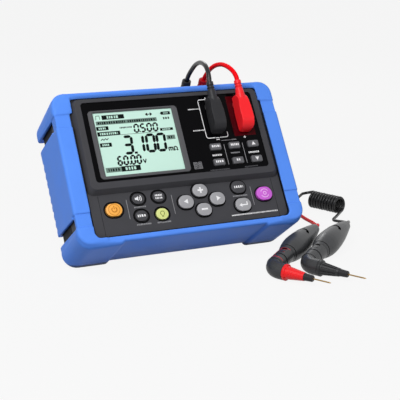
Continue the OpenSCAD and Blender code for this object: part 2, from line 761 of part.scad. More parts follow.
module main_board() {
    color("darkgreen") on_table() {
        difference() {
            union() {
                translate([0, 0, board_z - board_t]) linear_extrude(board_t) board_outline();
                // Control chip, converter chip, transformer and relays on the rear side
                translate([-20, 25, board_z - board_t - 1.9]) cube([16, 16, 2], center = false);
                translate([8, -16, board_z - board_t - 1.9]) cube([12, 12, 2], center = false);
                translate([-70, -34, board_z - board_t - 9.9]) cube([18, 16, 10], center = false);
                for (i = [0:2]) translate([28 + i * 14, -40, board_z - board_t - 7.9]) cube([10, 18, 8]);
            }
        }
    }
}

module key_mat() {
    low = [-mat_w / 2, -53];
    color([0.2, 0.2, 0.22]) on_table() {
        translate([0, 0, board_z]) linear_extrude(mat_t)
            polygon([low, [mat_w / 2, low[1]], [mat_w / 2, 11.5], [25, 11.5], [25, -22], [-mat_w / 2, -22]]);
        for (k = OVAL_KEYS) disc([k[1], k[2]], nub_d / 2, board_z + mat_t - 0.2, nub_z);
        rect_keys_at() disc([0, 0], 2, board_z + mat_t - 0.2, nub_z);
    }
}

// Oval key: the crown is part of a large ball
module oval_key(k) {
    top = deck_z + k[5];
    crown = min(0.9, k[5] / 2);
    ball = (pow(k[3] / 2, 2) + pow(crown, 2)) / (2 * crown);
    color(k[7]) on_table() translate([k[1], k[2], 0]) intersection() {
        union() {
            oval_plate([0, 0], k[3] - 4, k[4] - 4, stem_z, deck_under_z - 0.5);
            oval_plate([0, 0], k[3] + 2 * key_flange, k[4] + 2 * key_flange,
                deck_under_z - 0.2 - flange_t, deck_under_z - 0.2);
            oval_plate([0, 0], k[3], k[4], deck_under_z - 0.3, top + 0.1);
        }
        translate([0, 0, top - ball]) sphere(r = ball, $fn = 96);
    }
}

module rect_key(k) {
    x = rect_key_x[k[1]];
    y = rect_key_y[k[2]];
    top = panel_z + rect_key_rise;
    color("silver") on_table() translate([x, y, 0]) {
        plate([0, 0], rect_key_w - 3, rect_key_h - 2, 0.8, stem_z, floor_z - 0.2);
        plate([0, 0], rect_key_w + 2 * key_flange, rect_key_h + 2 * key_flange, 1.5,
            floor_z - 0.2 - flange_t, floor_z - 0.2);
        plate([0, 0], rect_key_w, rect_key_h, rect_key_r, floor_z - 0.3, top - 0.6);
        hull() {
            plate([0, 0], rect_key_w, rect_key_h, rect_key_r, top - 0.7, top - 0.6);
            plate([0, 0], rect_key_w - 1, rect_key_h - 1, rect_key_r - 0.3, top - 0.05, top);
        }
    }
}

module terminal_block() {
    c = [(jack_x[0] + jack_x[1]) / 2, jack_y];
    w = jack_x[1] - jack_x[0] + 17;
    color([0.15, 0.15, 0.16]) on_table() difference() {
        plate(c, w, jack_pitch + 16, 3, floor_z - 20, floor_z);
        for (pair = [0, 1]) jacks_at(pair) disc([0, 0], jack_sleeve_d / 2 + 0.05, floor_z - 21, floor_z + 1);
    }
}

module jack_sleeves(pair, shade) {
    color(shade) on_table() jacks_at(pair) rotate_extrude()
        polygon([
            [contact_d / 2 + 0.05, panel_z - jack_depth], [jack_sleeve_d / 2, panel_z - jack_depth],
            [jack_sleeve_d / 2, panel_z + jack_rim - 0.3], [jack_sleeve_d / 2 - 0.3, panel_z + jack_rim],
            [contact_d / 2 + 0.9, panel_z + jack_rim], [contact_d / 2 + 0.05, panel_z + jack_rim - 0.9]
        ]);
}

module jack_contacts() {
    color("goldenrod") on_table() for (pair = [0, 1]) jacks_at(pair) difference() {
        union() {
            disc([0, 0], contact_d / 2, panel_z - jack_depth, panel_z - 1.5);
            disc([0, 0], 1, panel_z - jack_depth - 3, panel_z - jack_depth + 1);
        }
        disc([0, 0], jack_bore / 2, panel_z - jack_depth + 1.5, panel_z);
    }
}

module battery_cover() {
    grip_y = bay_y - lid_h / 2 + 8;
    color([0.25, 0.25, 0.26]) on_table() difference() {
        translate([0, 0, recess_z]) linear_extrude(lid_t) lid_shape(0);
        disc([0, lid_screw_y], 1.35, recess_z - 1, lid_in_z + 1);
        disc([0, lid_screw_y], 2.6, recess_z - 1, recess_z + 1.3);
        // Grip lines
        for (i = [0:3]) block([-20, grip_y + i * 3, recess_z - 1], [20, grip_y + i * 3 + 1.4, recess_z + 0.6]);
    }
}

module screw(head_d, head_t, d, z_head, z_end) {
    difference() {
        union() {
            disc([0, 0], head_d / 2, z_head, z_head + head_t);
            disc([0, 0], d / 2, z_head + head_t - 0.1, z_end);
        }
        rotate([0, 0, 45]) block([-head_d * 0.3, -0.3, z_head - 1], [head_d * 0.3, 0.3, z_head + head_t / 2]);
        rotate([0, 0, -45]) block([-head_d * 0.3, -0.3, z_head - 1], [head_d * 0.3, 0.3, z_head + head_t / 2]);
    }
}

// Four screws hold the shells together, and a smaller one holds the battery cover
module case_screws() {
    color("silver") on_table() {
        posts_at()
            screw(screw_head_d, screw_head_t, screw_d, case_back_z + sink_depth - screw_head_t, screw_end_z);
        translate([0, lid_screw_y, 0]) screw(4.4, 1.1, 2.4, recess_z + 0.15, lid_in_z + 4);
    }
}

module battery_cells() {
    nub_l = 1.2;
    color([0.75, 0.6, 0.3]) on_table() for (sx = [-1, 1], i = [0:cell_rows - 1]) {
        y = bay_y + (i - (cell_rows - 1) / 2) * cell_pitch;
        dir = (i % 2 == 0) ? sx : -sx;
        translate([sx * cell_x, y, cell_z]) rotate([0, 90 * dir, 0]) {
            translate([0, 0, -cell_len / 2]) cylinder(d = cell_d, h = cell_len - nub_l);
            translate([0, 0, cell_len / 2 - nub_l - 0.1]) cylinder(d = 5.2, h = nub_l + 0.1);
        }
    }
}

module battery_contacts() {
    plate_t = 0.4;
    end_x = bay_w / 2;
    color("silver") on_table() for (sx = [-1, 1], i = [0:cell_rows - 1]) {
        y = bay_y + (i - (cell_rows - 1) / 2) * cell_pitch;
        outward = (i % 2 == 0);
        // Outer end of the column
        translate([sx * end_x, y, cell_z]) rotate([0, -90 * sx, 0]) {
            translate([-5, -5.5, 0]) cube([10, 11, plate_t]);
            if (outward)
                translate([0, 0, plate_t - 0.05]) cylinder(d1 = 7, d2 = 4, h = spring_t - plate_t - 0.2);
            else translate([0, 0, plate_t - 0.05]) cylinder(d1 = 9, d2 = 6, h = spring_t - plate_t - 0.2);
        }
        // Inner end, on the rib
        translate([sx * rib_t / 2, y, cell_z]) rotate([0, 90 * sx, 0]) {
            translate([-5, -5.5, 0]) cube([10, 11, plate_t]);
            translate([0, 0, plate_t - 0.05]) cylinder(d = outward ? 8 : 4, h = 1.5 - plate_t - 0.2);
        }
    }
}

module buzzer() {
    z = board_z - board_t;
    color([0.1, 0.1, 0.1]) on_table() translate([-62, 22, 0]) difference() {
        disc([0, 0], 6, z - 5, z);
        disc([0, 0], 1, z - 6, z - 2);
    }
}

// The stand, drawn folded, with its hinge axis along x through the origin
module stand_solid() {
    half = stand_w / 2;
    skin = 1.8;
    pocket_low = -stand_len + 12;
    pocket_high = -8;
    bays = 4;
    step = (stand_w - 8) / bays;
    difference() {
        union() {
            translate([0, -stand_len / 2 - 1, -stand_t / 2 - 0.1]) linear_extrude(stand_t) difference() {
                round_rect(stand_w, stand_len + 2, 8);
                translate([-half - 1, stand_len / 2]) square([stand_w + 2, 10]);
            }
            translate([-barrel_len / 2, 0, 0]) rotate([0, 90, 0]) cylinder(d = barrel_d, h = barrel_len);
        }
        // Pockets on the inner face leave ribs
        for (i = [0:bays - 1])
            block([-half + 4 + i * step + 1, pocket_low, -stand_t / 2 - 0.1 + skin],
                [-half + 4 + (i + 1) * step - 1, pocket_high, 4]);
        // Finger notch in the lower edge
        translate([0, -stand_len - 8, -4]) cylinder(r = 14, h = 10);
        translate([-barrel_len / 2 - 1, 0, 0]) rotate([0, 90, 0])
            cylinder(r = hinge_d / 2 + hinge_gap, h = barrel_len + 2);
    }
}

module tilt_stand() {
    color([0.25, 0.25, 0.26]) difference() {
        on_hinge() stand_solid();
        // Sole, flat on the table
        translate([-boot_w, -boot_h, -40]) cube([2 * boot_w, 2 * boot_h, 40]);
    }
}

module stand_pin() {
    color("silver") on_table() translate([-recess_w / 2 - 3.5, hinge_y, hinge_z]) rotate([0, 90, 0])
        cylinder(d = hinge_d, h = recess_w + 7);
}

// Side outline of a double plug: y up the face, z out of the panel
module plug_outline() {
    r_low = 10;
    r_high = 8;
    difference() {
        translate([-plug_len / 2, 0]) square([plug_len, plug_high]);
        difference() {
            translate([-plug_len / 2 - 1, plug_high - r_low]) square([r_low + 1, r_low + 1]);
            translate([-plug_len / 2 + r_low, plug_high - r_low]) circle(r = r_low);
        }
        difference() {
            translate([plug_len / 2 - r_high, plug_high - r_high]) square([r_high + 1, r_high + 1]);
            translate([plug_len / 2 - r_high, plug_high - r_high]) circle(r = r_high);
        }
    }
}

// Front outline of a double plug: round lower corners and shoulders that draw in towards the cord
module plug_front() {
    half = plug_w / 2;
    low = -plug_len / 2;
    r = 3;
    draw = 0.9;
    shoulder = 10;
    translate([-half, low + r]) square([plug_w, plug_len / 2 - r + 1]);
    translate([-half + r, low]) square([plug_w - 2 * r, r + 1]);
    for (s = [-1, 1]) translate([s * (half - r), low + r]) circle(r = r);
    polygon([
        [-half, 0.9], [half, 0.9], [half - draw, shoulder], [half - draw - 0.2, plug_len / 2],
        [-half + draw + 0.2, plug_len / 2], [-half + draw, shoulder]
    ]);
}

module plug(pair, shade) {
    base_z = panel_z + jack_rim + skim;
    bore = short_cord_d / 2 + 0.05;
    color(shade) on_table() translate([jack_x[pair], jack_y, base_z]) difference() {
        union() {
            intersection() {
                translate([-plug_w / 2 - 1, 0, 0]) rotate([90, 0, 90])
                    linear_extrude(plug_w + 2) plug_outline();
                translate([0, 0, -1]) linear_extrude(plug_high + 2) plug_front();
            }
            // Tapered strain relief with ring grooves
            translate([0, plug_len / 2 - 1, relief_z]) rotate([relief_lean - 90, 0, 0]) rotate_extrude()
                polygon([
                    [bore, -10], [4.8, -10], [4.7, -7], [3.8, 1.5], [3.2, 6.3], [2.6, 6.5], [2.6, 7.3],
                    [3.15, 7.5], [3.1, 8.7], [2.5, 8.9], [2.5, 9.7], [3.05, 9.9], [3, relief_len], [bore, relief_len]
                ]);
        }
        for (y = [-1, 1]) translate([0, y * jack_pitch / 2, -1]) cylinder(d = plug_pin_d + 0.1, h = 6);
    }
}

module plug_pins() {
    base_z = panel_z + jack_rim + skim;
    color("goldenrod") on_table() for (pair = [0, 1]) jacks_at(pair) rotate_extrude()
        polygon([
            [0, base_z - 19], [1.2, base_z - 19], [plug_pin_d / 2, base_z - 17.5],
            [plug_pin_d / 2, base_z + 5], [0, base_z + 5]
        ]);
}

// Tube of diameter d swept along a route of points
function unit(v) = v / norm(v);
function heading(p, i) = unit(p[min(i + 1, len(p) - 1)] - p[max(i - 1, 0)]);
function side(t) = unit(cross(t, abs(t[2]) > 0.8 ? [1, 0, 0] : [0, 0, 1]));

module tube(route, d, sides = 8) {
    n = len(route);
    rings = [for (i = [0:n - 1]) let (t = heading(route, i), u = side(t), v = cross(t, u))
        for (j = [0:sides - 1]) route[i] + d / 2 * (u * cos(360 * j / sides) + v * sin(360 * j / sides))];
    walls = [for (i = [0:n - 2], j = [0:sides - 1])
        [i * sides + j, i * sides + (j + 1) % sides, (i + 1) * sides + (j + 1) % sides, (i + 1) * sides + j]];
    start = [for (j = [0:sides - 1]) sides - 1 - j];
    end = [for (j = [0:sides - 1]) (n - 1) * sides + j];
    polyhedron(points = rings, faces = concat([start], walls, [end]), convexity = 6);
}

module short_cord_black() {
    color([0.1, 0.1, 0.1]) tube(black_short_route, short_cord_d, 10);
}

module short_cord_red() {
    color("red") tube(red_short_route, short_cord_d, 10);
}

// Moulded joint where the two short cords meet the main cable
module cable_joint() {
    color([0.12, 0.12, 0.12]) translate(joint_at) rotate([joint_tilt, 0, 0]) difference() {
        union() {
            for (s = [-1, 1]) translate([s * sleeve_gap / 2, 0, -13]) rotate_extrude()
                polygon([[0, 0], [4.6, 0], [4.3, 7], [3.7, 7.2], [3.7, 8.2], [4.2, 8.4], [4, 13], [0, 13]]);
            plate([0, 0], 27, 12, 5, -31, -12);
            translate([0, 0, -44]) rotate_extrude() polygon([[0, 0], [4, 0], [4.2, 5], [5, 14], [0, 14]]);
        }
        for (s = [-1, 1]) translate([s * sleeve_gap / 2, 0, -0.5]) cylinder(d = short_cord_d + 0.4, h = 2);
    }
}

module main_cable() {
    color([0.13, 0.13, 0.13]) {
        tube(drop_route, cable_d, 8);
        tube(far_route, cable_d, 8);
    }
}

// Stored turns of the main cable: one solid of their outer shape
module cable_coil() {
    inner = store_d / 2 - store_columns * cable_d / 2;
    outer = store_d / 2 + store_columns * cable_d / 2;
    high = store_rows * cable_d;
    c = cable_d / 2;
    color([0.13, 0.13, 0.13]) translate([store_at[0], store_at[1], 0]) rotate_extrude()
        polygon([
            [inner + 1, 0], [outer - 1, 0], [outer, c / 2], [outer, high - c / 2], [outer - 1, high],
            [inner + 1, high], [inner, high - c / 2], [inner, c / 2]
        ]);
}

// Moulded joint where the main cable parts into the two probe cords
module cable_split() {
    color([0.12, 0.12, 0.12]) translate([split_at[0], split_at[1], 0]) {
        plate([0, 0], 22, 18, 4, 0, 9.2);
        translate([-10, 0, split_at[2]]) rotate([0, -90, 0]) rotate_extrude()
            polygon([[0, -1], [4.5, -1], [4.4, 3], [4, 8], [0, 8]]);
    }
}

module cord_red() {
    color("red") tube(red_route, red_cord_d, 8);
}

module cord_black() {
    color([0.1, 0.1, 0.1]) tube(black_route, black_cord_d, 8);
}

module curly_cord() {
    color([0.1, 0.1, 0.1]) tube(curl_route, curl_d, 12);
}

module cord_tail() {
    color([0.1, 0.1, 0.1]) tube(tail_route, black_cord_d, 8);
}

// Places a piece drawn with the grip along +x and the bend at the origin
module at_red() {
    translate([red_probe_at[0], red_probe_at[1], probe_high]) rotate([0, 0, probe_heading])
        rotate([0, -probe_tilt, 0]) children();
}

module at_black() {
    translate([black_probe_at[0], black_probe_at[1], probe_high]) rotate([0, 0, probe_heading])
        rotate([0, -probe_tilt, 0]) children();
}

// Radius of the grip: rises to the belly and falls to the tail
function grip_r(x) = x < belly_x
    ? elbow_d / 2 + 0.4 + (grip_d / 2 - elbow_d / 2 - 0.4) * sin(90 * (x - collar_x) / (belly_x - collar_x))
    : tail_d / 2 + (grip_d / 2 - tail_d / 2) * cos(90 * (x - belly_x) / (grip_len - belly_x));

module grip(shade) {
    steps = 14;
    ring_x = collar_x + 3.2;
    ring_r = grip_r(ring_x) - 0.5;
    xs = [for (i = [0:steps]) collar_x + skim + (grip_len - 1.5 - collar_x - skim) * i / steps];
    color(shade) difference() {
        rotate([0, 90, 0]) rotate_extrude() polygon(concat(
            [[0, collar_x + skim]],
            [for (x = xs) [grip_r(x), x]],
            [[tail_d / 2 - 0.6, grip_len], [0, grip_len]]
        ));
        // Ring groove behind the neck
        rotate([0, 90, 0]) translate([0, 0, ring_x]) rotate_extrude()
            polygon([[ring_r, 0], [grip_d, 0], [grip_d, 0.9], [ring_r, 0.9]]);
        // Crescent on the upper side for the thumb
        translate([thumb_x, 0, grip_r(thumb_x) - thumb_deep]) rotate([0, -6, -90]) rotate_extrude(angle = 180)
            translate([thumb_r, 0]) square([1.1, 6]);
        rotate([0, 90, 0]) translate([0, 0, grip_len - cord_seat]) cylinder(r = 2.1, h = 10);
    }
}

// Bent neck between the grip and the nose
module neck(shade) {
    r = elbow_d / 2;
    sleeve = r + 0.4;
    latch_half = 2.2;
    color(shade) difference() {
        union() {
            // Collar with a ring groove
            translate([bend_in - 1, 0, 0]) rotate([0, 90, 0]) rotate_extrude()
                polygon([
                    [0, 0], [sleeve, 0], [sleeve, 9], [sleeve - 0.8, 9.2], [sleeve - 0.8, 10.4],
                    [sleeve + 0.1, 10.6], [sleeve + 0.1, collar_x - bend_in + 1], [0, collar_x - bend_in + 1]
                ]);
            translate([bend_in, -bend_r, 0]) rotate([0, 0, 90]) rotate_extrude(angle = elbow_turn)
                translate([bend_r, 0]) circle(r = r);
            nose_frame() translate([0, 0, bend_in - 1]) cylinder(r = r + 0.05, h = flange_x - bend_in + 1);
        }
        // Latch window in the collar and the short slot of its tongue
        block([collar_x - 4.2, -latch_half, sleeve - 1.4], [collar_x - 1.2, latch_half, sleeve + 2]);
        block([collar_x - 9.4, -latch_half, sleeve - 1.2], [collar_x - 8.6, latch_half, sleeve + 2]);
    }
}

// Frame of the nose: z along the nose, away from the bend
module nose_frame() {
    rotate([0, 0, 180 + elbow_turn]) rotate([0, 90, 0]) children();
}

module nose(shade, ribbed) {
    r0 = nose_d / 2;
    r1 = nose_small_d / 2;
    rib_from = flange_x + 2.6;
    color(shade) nose_frame() difference() {
        union() {
            translate([0, 0, flange_x]) rotate_extrude()
                polygon([
                    [0, 0], [flange_d / 2 - 0.3, 0], [flange_d / 2, 0.4], [flange_d / 2, 1.9],
                    [flange_d / 2 - 0.6, 2.5], [r0, 2.6], [r1, nose_end - flange_x], [0, nose_end - flange_x]
                ]);
        }
        translate([0, 0, nose_end - 6]) cylinder(r = tip_d / 2 + 0.4, h = 7);
        if (ribbed) for (a = [0:30:330]) rotate([0, 0, a])
            translate([r0, 0, rib_from]) rotate([0, -atan((r0 - r1) / (nose_end - flange_x - 2.6)), 0])
                translate([-0.5, -0.45, 1]) cube([2, 0.9, nose_end - rib_from - 3]);
    }
}

module nose_cap() {
    nose_frame() translate([0, 0, nose_end]) rotate_extrude()
        polygon([
            [tip_d / 2 + tip_gap, 0], [nose_small_d / 2 - 0.3, 0], [nose_small_d / 2 - 0.4, 1.2],
            [cap_d / 2, cap_end - nose_end - 0.6], [cap_d / 2 - 0.5, cap_end - nose_end],
            [tip_d / 2 + tip_gap, cap_end - nose_end]
        ]);
}

module nose_caps() {
    color([0.12, 0.12, 0.12]) {
        at_red() nose_cap();
        at_black() nose_cap();
    }
}

module contact_tip() {
    base = cap_end - tip_in + tip_travel;
    color("goldenrod") nose_frame() translate([0, 0, base]) rotate_extrude()
        polygon([
            [0, 0], [tip_d / 2, 0], [tip_d / 2, cap_end - base + tip_out - 1.5],
            [0.25, cap_end - base + tip_out], [0, cap_end - base + tip_out]
        ]);
}

protector_boot();
front_case();
rear_case();
window_panel();
display_bezel();
display_glass();
backlight();
main_board();
key_mat();
terminal_block();
jack_sleeves(0, [0.1, 0.1, 0.1]);  // jacks_black
jack_sleeves(1, "darkred");  // jacks_red
jack_contacts();
battery_cover();
case_screws();
battery_cells();
battery_contacts();
buzzer();
tilt_stand();
stand_pin();
plug(0, [0.15, 0.15, 0.15]);  // plug_black
plug(1, "red");  // plug_red
plug_pins();
short_cord_black();
short_cord_red();
cable_joint();
main_cable();
cable_coil();
cable_split();
cord_red();
cord_black();
curly_cord();
cord_tail();
at_red() grip([0.2, 0.2, 0.21]);  // grip_red
at_black() grip([0.2, 0.2, 0.21]);  // grip_black
at_red() neck([0.18, 0.18, 0.19]);  // neck_red
at_black() neck([0.18, 0.18, 0.19]);  // neck_black
at_red() nose("red", false);  // nose_red
at_black() nose([0.12, 0.12, 0.12], true);  // nose_black
nose_caps();
at_red() contact_tip();  // tip_red
at_black() contact_tip();  // tip_black
for (k = OVAL_KEYS) oval_key(k);
for (k = RECT_KEYS) rect_key(k);
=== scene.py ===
"""Looks of a bench battery tester in its rubber boot: the cords of its lead set, softened rubber pieces,
printed marks, key signs and the finish of every surface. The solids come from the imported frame, and nothing
here moves them."""

import json
import math
import random

import bmesh
import bpy
from mathutils import Euler, Matrix, Vector

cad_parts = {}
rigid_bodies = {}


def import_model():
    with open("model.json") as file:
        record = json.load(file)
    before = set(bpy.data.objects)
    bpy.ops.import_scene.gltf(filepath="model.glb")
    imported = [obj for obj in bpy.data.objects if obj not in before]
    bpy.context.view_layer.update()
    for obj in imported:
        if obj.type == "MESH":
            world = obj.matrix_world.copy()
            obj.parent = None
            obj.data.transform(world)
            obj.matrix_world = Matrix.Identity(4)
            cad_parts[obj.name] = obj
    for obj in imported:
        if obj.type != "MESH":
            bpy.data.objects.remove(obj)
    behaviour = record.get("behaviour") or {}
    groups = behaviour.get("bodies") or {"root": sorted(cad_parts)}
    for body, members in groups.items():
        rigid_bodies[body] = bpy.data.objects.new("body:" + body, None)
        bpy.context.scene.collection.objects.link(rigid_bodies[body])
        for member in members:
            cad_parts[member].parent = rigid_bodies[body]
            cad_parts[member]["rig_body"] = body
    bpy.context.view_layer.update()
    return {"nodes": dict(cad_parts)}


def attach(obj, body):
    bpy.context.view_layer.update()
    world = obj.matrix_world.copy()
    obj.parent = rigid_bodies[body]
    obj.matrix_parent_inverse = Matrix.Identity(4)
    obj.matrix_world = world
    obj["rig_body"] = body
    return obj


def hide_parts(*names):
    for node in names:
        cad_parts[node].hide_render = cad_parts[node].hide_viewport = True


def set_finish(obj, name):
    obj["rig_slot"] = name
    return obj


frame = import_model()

MM = 0.001
NODES = frame["nodes"]

# The tester's face leans back on the table. Places on it are in millimetres: x right, y up, z out of it.
LEAN = math.radians(56)
LIFT = 85.895
ORIGIN_Y = -26.414
FACE = Matrix.Translation((0, ORIGIN_Y * MM, LIFT * MM)) @ Matrix.Rotation(LEAN, 4, "X") @ Matrix.Scale(MM, 4)

# Heights over the face of the surfaces that carry marks, in millimetres
PANEL_Z = 1.2
DECK_Z = -2.5
DISPLAY_Z = -0.3
RECT_KEY_TOP = 3.0


def linear(colour):
    """Linear colour of an 8-bit screen colour."""
    channels = [c / 255 for c in colour]
    return [c / 12.92 if c <= 0.04045 else ((c + 0.055) / 1.055) ** 2.4 for c in channels] + [1]


def new_object(name, data):
    """Object in the scene that shows some data."""
    obj = bpy.data.objects.new(name, data)
    bpy.context.scene.collection.objects.link(obj)
    return obj


# Camera: place in metres, angles in degrees

CAMERA_AT = (-0.3118, -0.76643, 0.26031)
CAMERA_DOWN = 14.65
CAMERA_HEADING = -23.94


def make_camera():
    """Camera that sees the tester from the front, a little from the left and above."""
    data = bpy.data.cameras.new("camera")
    data.lens = 90
    data.sensor_width = 36
    data.clip_start = 0.01
    camera = new_object("camera", data)
    camera.location = CAMERA_AT
    camera.rotation_euler = (math.radians(90 - CAMERA_DOWN), 0, math.radians(CAMERA_HEADING))
    bpy.context.scene.camera = camera


make_camera()


# Cords: routes in metres, through the places where the frame has their solids

BLACK_SHORT_ROUTE = [
    (0.0364, -0.0026, 0.1419), (0.0364, -0.0016, 0.1438), (0.0368, 0, 0.147), (0.0374, 0.0038, 0.1517),
    (0.0384, 0.0105, 0.1553), (0.0395, 0.0194, 0.1567), (0.0402, 0.0283, 0.1561), (0.0408, 0.0382, 0.1529),
    (0.0408, 0.0461, 0.1477), (0.0404, 0.052, 0.1422), (0.0403, 0.0562, 0.1368)]
RED_SHORT_ROUTE = [
    (0.0623, -0.0026, 0.1419), (0.0623, -0.0016, 0.1438), (0.0621, 0, 0.1467), (0.0613, 0.0042, 0.1504),
    (0.0603, 0.0115, 0.1532), (0.0597, 0.0204, 0.1543), (0.0593, 0.0288, 0.1536), (0.0586, 0.0372, 0.1513),
    (0.0576, 0.0441, 0.1475), (0.057, 0.0505, 0.1423), (0.0567, 0.0562, 0.1368)]
DROP_ROUTE = [
    (0.0485, 0.0748, 0.0986), (0.0485, 0.0803, 0.0876), (0.0485, 0.086, 0.072), (0.0482, 0.0915, 0.0555),
    (0.0467, 0.0975, 0.0395), (0.043, 0.1032, 0.026), (0.0376, 0.1078, 0.016), (0.0314, 0.1104, 0.0108)]
FAR_ROUTE = [
    (0.071, 0.142, 0.003), (0.0734, 0.1355, 0.003), (0.077, 0.1285, 0.003), (0.082, 0.122, 0.003),
    (0.088, 0.116, 0.0036), (0.095, 0.113, 0.0046)]
RED_ROUTE = [
    (0.1225, 0.109, 0.003), (0.132, 0.106, 0.0018), (0.143, 0.0961, 0.0017), (0.1505, 0.08, 0.0017),
    (0.154, 0.062, 0.0017), (0.154, 0.044, 0.0018), (0.1505, 0.028, 0.003), (0.1469, 0.011, 0.0048),
    (0.1414, -0.0059, 0.007), (0.1366, -0.0168, 0.0098), (0.1314, -0.0266, 0.0134),
    (0.1259, -0.0345, 0.0148), (0.1197, -0.0397, 0.0142)]
BLACK_ROUTE = [
    (0.1225, 0.117, 0.003), (0.134, 0.117, 0.0017), (0.148, 0.116, 0.0015), (0.162, 0.111, 0.0015),
    (0.17, 0.104, 0.0016), (0.1742, 0.097, 0.0024), (0.1756, 0.0905, 0.005), (0.1752, 0.084, 0.0092),
    (0.1746, 0.0773, 0.0134), (0.1753, 0.0745, 0.0146), (0.1772, 0.0724, 0.0155), (0.1799, 0.0714, 0.0159)]
TAIL_ROUTE = [
    (0.1958, 0.0393, 0.0017), (0.1908, 0.0345, 0.0015), (0.1852, 0.0288, 0.0015), (0.18, 0.0238, 0.0015),
    (0.1766, 0.0203, 0.0015), (0.1755, 0.0168, 0.0015), (0.1768, 0.0118, 0.0018), (0.1778, 0.005, 0.0029),
    (0.1763, -0.0038, 0.0046), (0.1724, -0.0128, 0.0074), (0.1672, -0.0208, 0.0107),
    (0.1616, -0.0294, 0.0137), (0.1564, -0.0364, 0.0148), (0.1499, -0.0418, 0.0142)]

# Curly stretch of the black cord. Its turns shrink and shift a little, unevenly as on a used one.
CURL_START = Vector((0.1827, 0.0718, 0.0087))
CURL_END = Vector((0.1953, 0.04, 0.0087))
CURL_RADIUS = 0.0072
CURL_TURNS = 10.4
CURL_SHRINK = 0.015
CURL_SHIFT = 0.0002

CABLE_D = 0.006
SHORT_CORD_D = 0.004
RED_CORD_D = 0.0032
BLACK_CORD_D = 0.0028

# Stored turns of the main cable: middle, and each turn's radius and height
STORE_AT = Vector((0.03, 0.15, 0))
STORE_RADII = [0.039, 0.033, 0.027, 0.027, 0.033, 0.039]
STORE_HEIGHTS = [0.009, 0.009, 0.009, 0.003, 0.003, 0.003]

# Last share of each turn, and the angles in radians past the drop and short of the split
STEP_SHARE = 0.25
TURN_AFTER_DROP = 0.11
TURN_BEFORE_SPLIT = 0.1


def spline_through(points, pieces=6):
    """Smooth line through points, with a few steps between each two."""
    points = [Vector(p) for p in points]
    ends = [2 * points[0] - points[1]] + points + [2 * points[-1] - points[-2]]
    line = []
    for a, b, c, d in zip(ends, ends[1:], ends[2:], ends[3:]):
        for i in range(pieces):
            t = i / pieces
            line.append(0.5 * (2 * b + (c - a) * t + (2 * a - 5 * b + 4 * c - d) * t ** 2
                               + (3 * b - 3 * c + d - a) * t ** 3))
    line.append(points[-1])
    return line


def stored_turns(first_angle, last_angle, steps=48):
    """Line of the stored turns: inwards on the upper row, then outwards on the lower one. Each turn steps
    over to the next one in its last share."""
    turns = len(STORE_RADII)
    whole = first_angle - last_angle
    whole += math.ceil((2 * math.pi * (turns - 1) - whole) / (2 * math.pi)) * 2 * math.pi
    line = []
    for i in range(turns * steps + 1):
        turned = whole * i / (turns * steps)
        place = turned / (2 * math.pi)
        turn = min(int(place), turns - 1)
        after = min(turn + 1, turns - 1)
        shift = max(0, (place - turn - (1 - STEP_SHARE)) / STEP_SHARE)
        shift = shift * shift * (3 - 2 * shift)
        radius = STORE_RADII[turn] + (STORE_RADII[after] - STORE_RADII[turn]) * shift
        height = STORE_HEIGHTS[turn] + (STORE_HEIGHTS[after] - STORE_HEIGHTS[turn]) * shift
        angle = first_angle - turned
        line.append(STORE_AT + Vector((radius * math.cos(angle), radius * math.sin(angle), height)))
    return line


def curl_line(steps=20):
    """Helix of the curly stretch. It starts at the top and ends at the bottom."""
    axis = (CURL_END - CURL_START).normalized()
    up = Vector((0, 0, 1))
    outward = up.cross(axis)
    count = int(CURL_TURNS * steps)
    line = []
    for i in range(count + 1):
        angle = 2 * math.pi * CURL_TURNS * i / count
        inward = math.sin(math.pi * i / count)
        uneven = 1 - CURL_SHRINK * (1 + math.sin(angle * 0.37 + 1)) * inward
        across = CURL_RADIUS * uneven * (up * math.cos(angle) + outward * math.sin(angle))
        shift = CURL_SHIFT * math.sin(angle * 0.61) * inward
        line.append(CURL_START.lerp(CURL_END, i / count) + across + axis * shift)
    return line


def cord(name, line, diameter, slot):
    """Curve of one spline along a line, riding on the tester."""
    data = bpy.data.curves.new(name, "CURVE")
    data.dimensions = "3D"
    data.bevel_depth = 1
    data.bevel_resolution = 5
    data.use_fill_caps = True
    spline = data.splines.new("POLY")
    spline.points.add(len(line) - 1)
    for point, place in zip(spline.points, line):
        point.co = (*place, 1)
        point.radius = diameter / 2
    spline.use_smooth = True
    obj = new_object(name, data)
    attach(obj, "tester")
    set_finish(obj, slot)
    return obj


def main_cable_line():
    """From the joint down to the table, through the stored turns and on to the split."""
    into = Vector(DROP_ROUTE[-1]) - STORE_AT
    out = Vector(FAR_ROUTE[0]) - STORE_AT
    first_angle = math.atan2(into.y, into.x) - TURN_AFTER_DROP
    last_angle = math.atan2(out.y, out.x) + TURN_BEFORE_SPLIT
    turns = stored_turns(first_angle, last_angle)
    drop = spline_through(DROP_ROUTE + turns[:1])
    return drop + turns[1:-1] + spline_through(turns[-1:] + FAR_ROUTE[1:])


def black_cord_line():
    """From the split through the curl to the probe."""
    curl = curl_line()
    return spline_through(BLACK_ROUTE + curl[:1]) + curl[1:-1] + spline_through(curl[-1:] + TAIL_ROUTE)


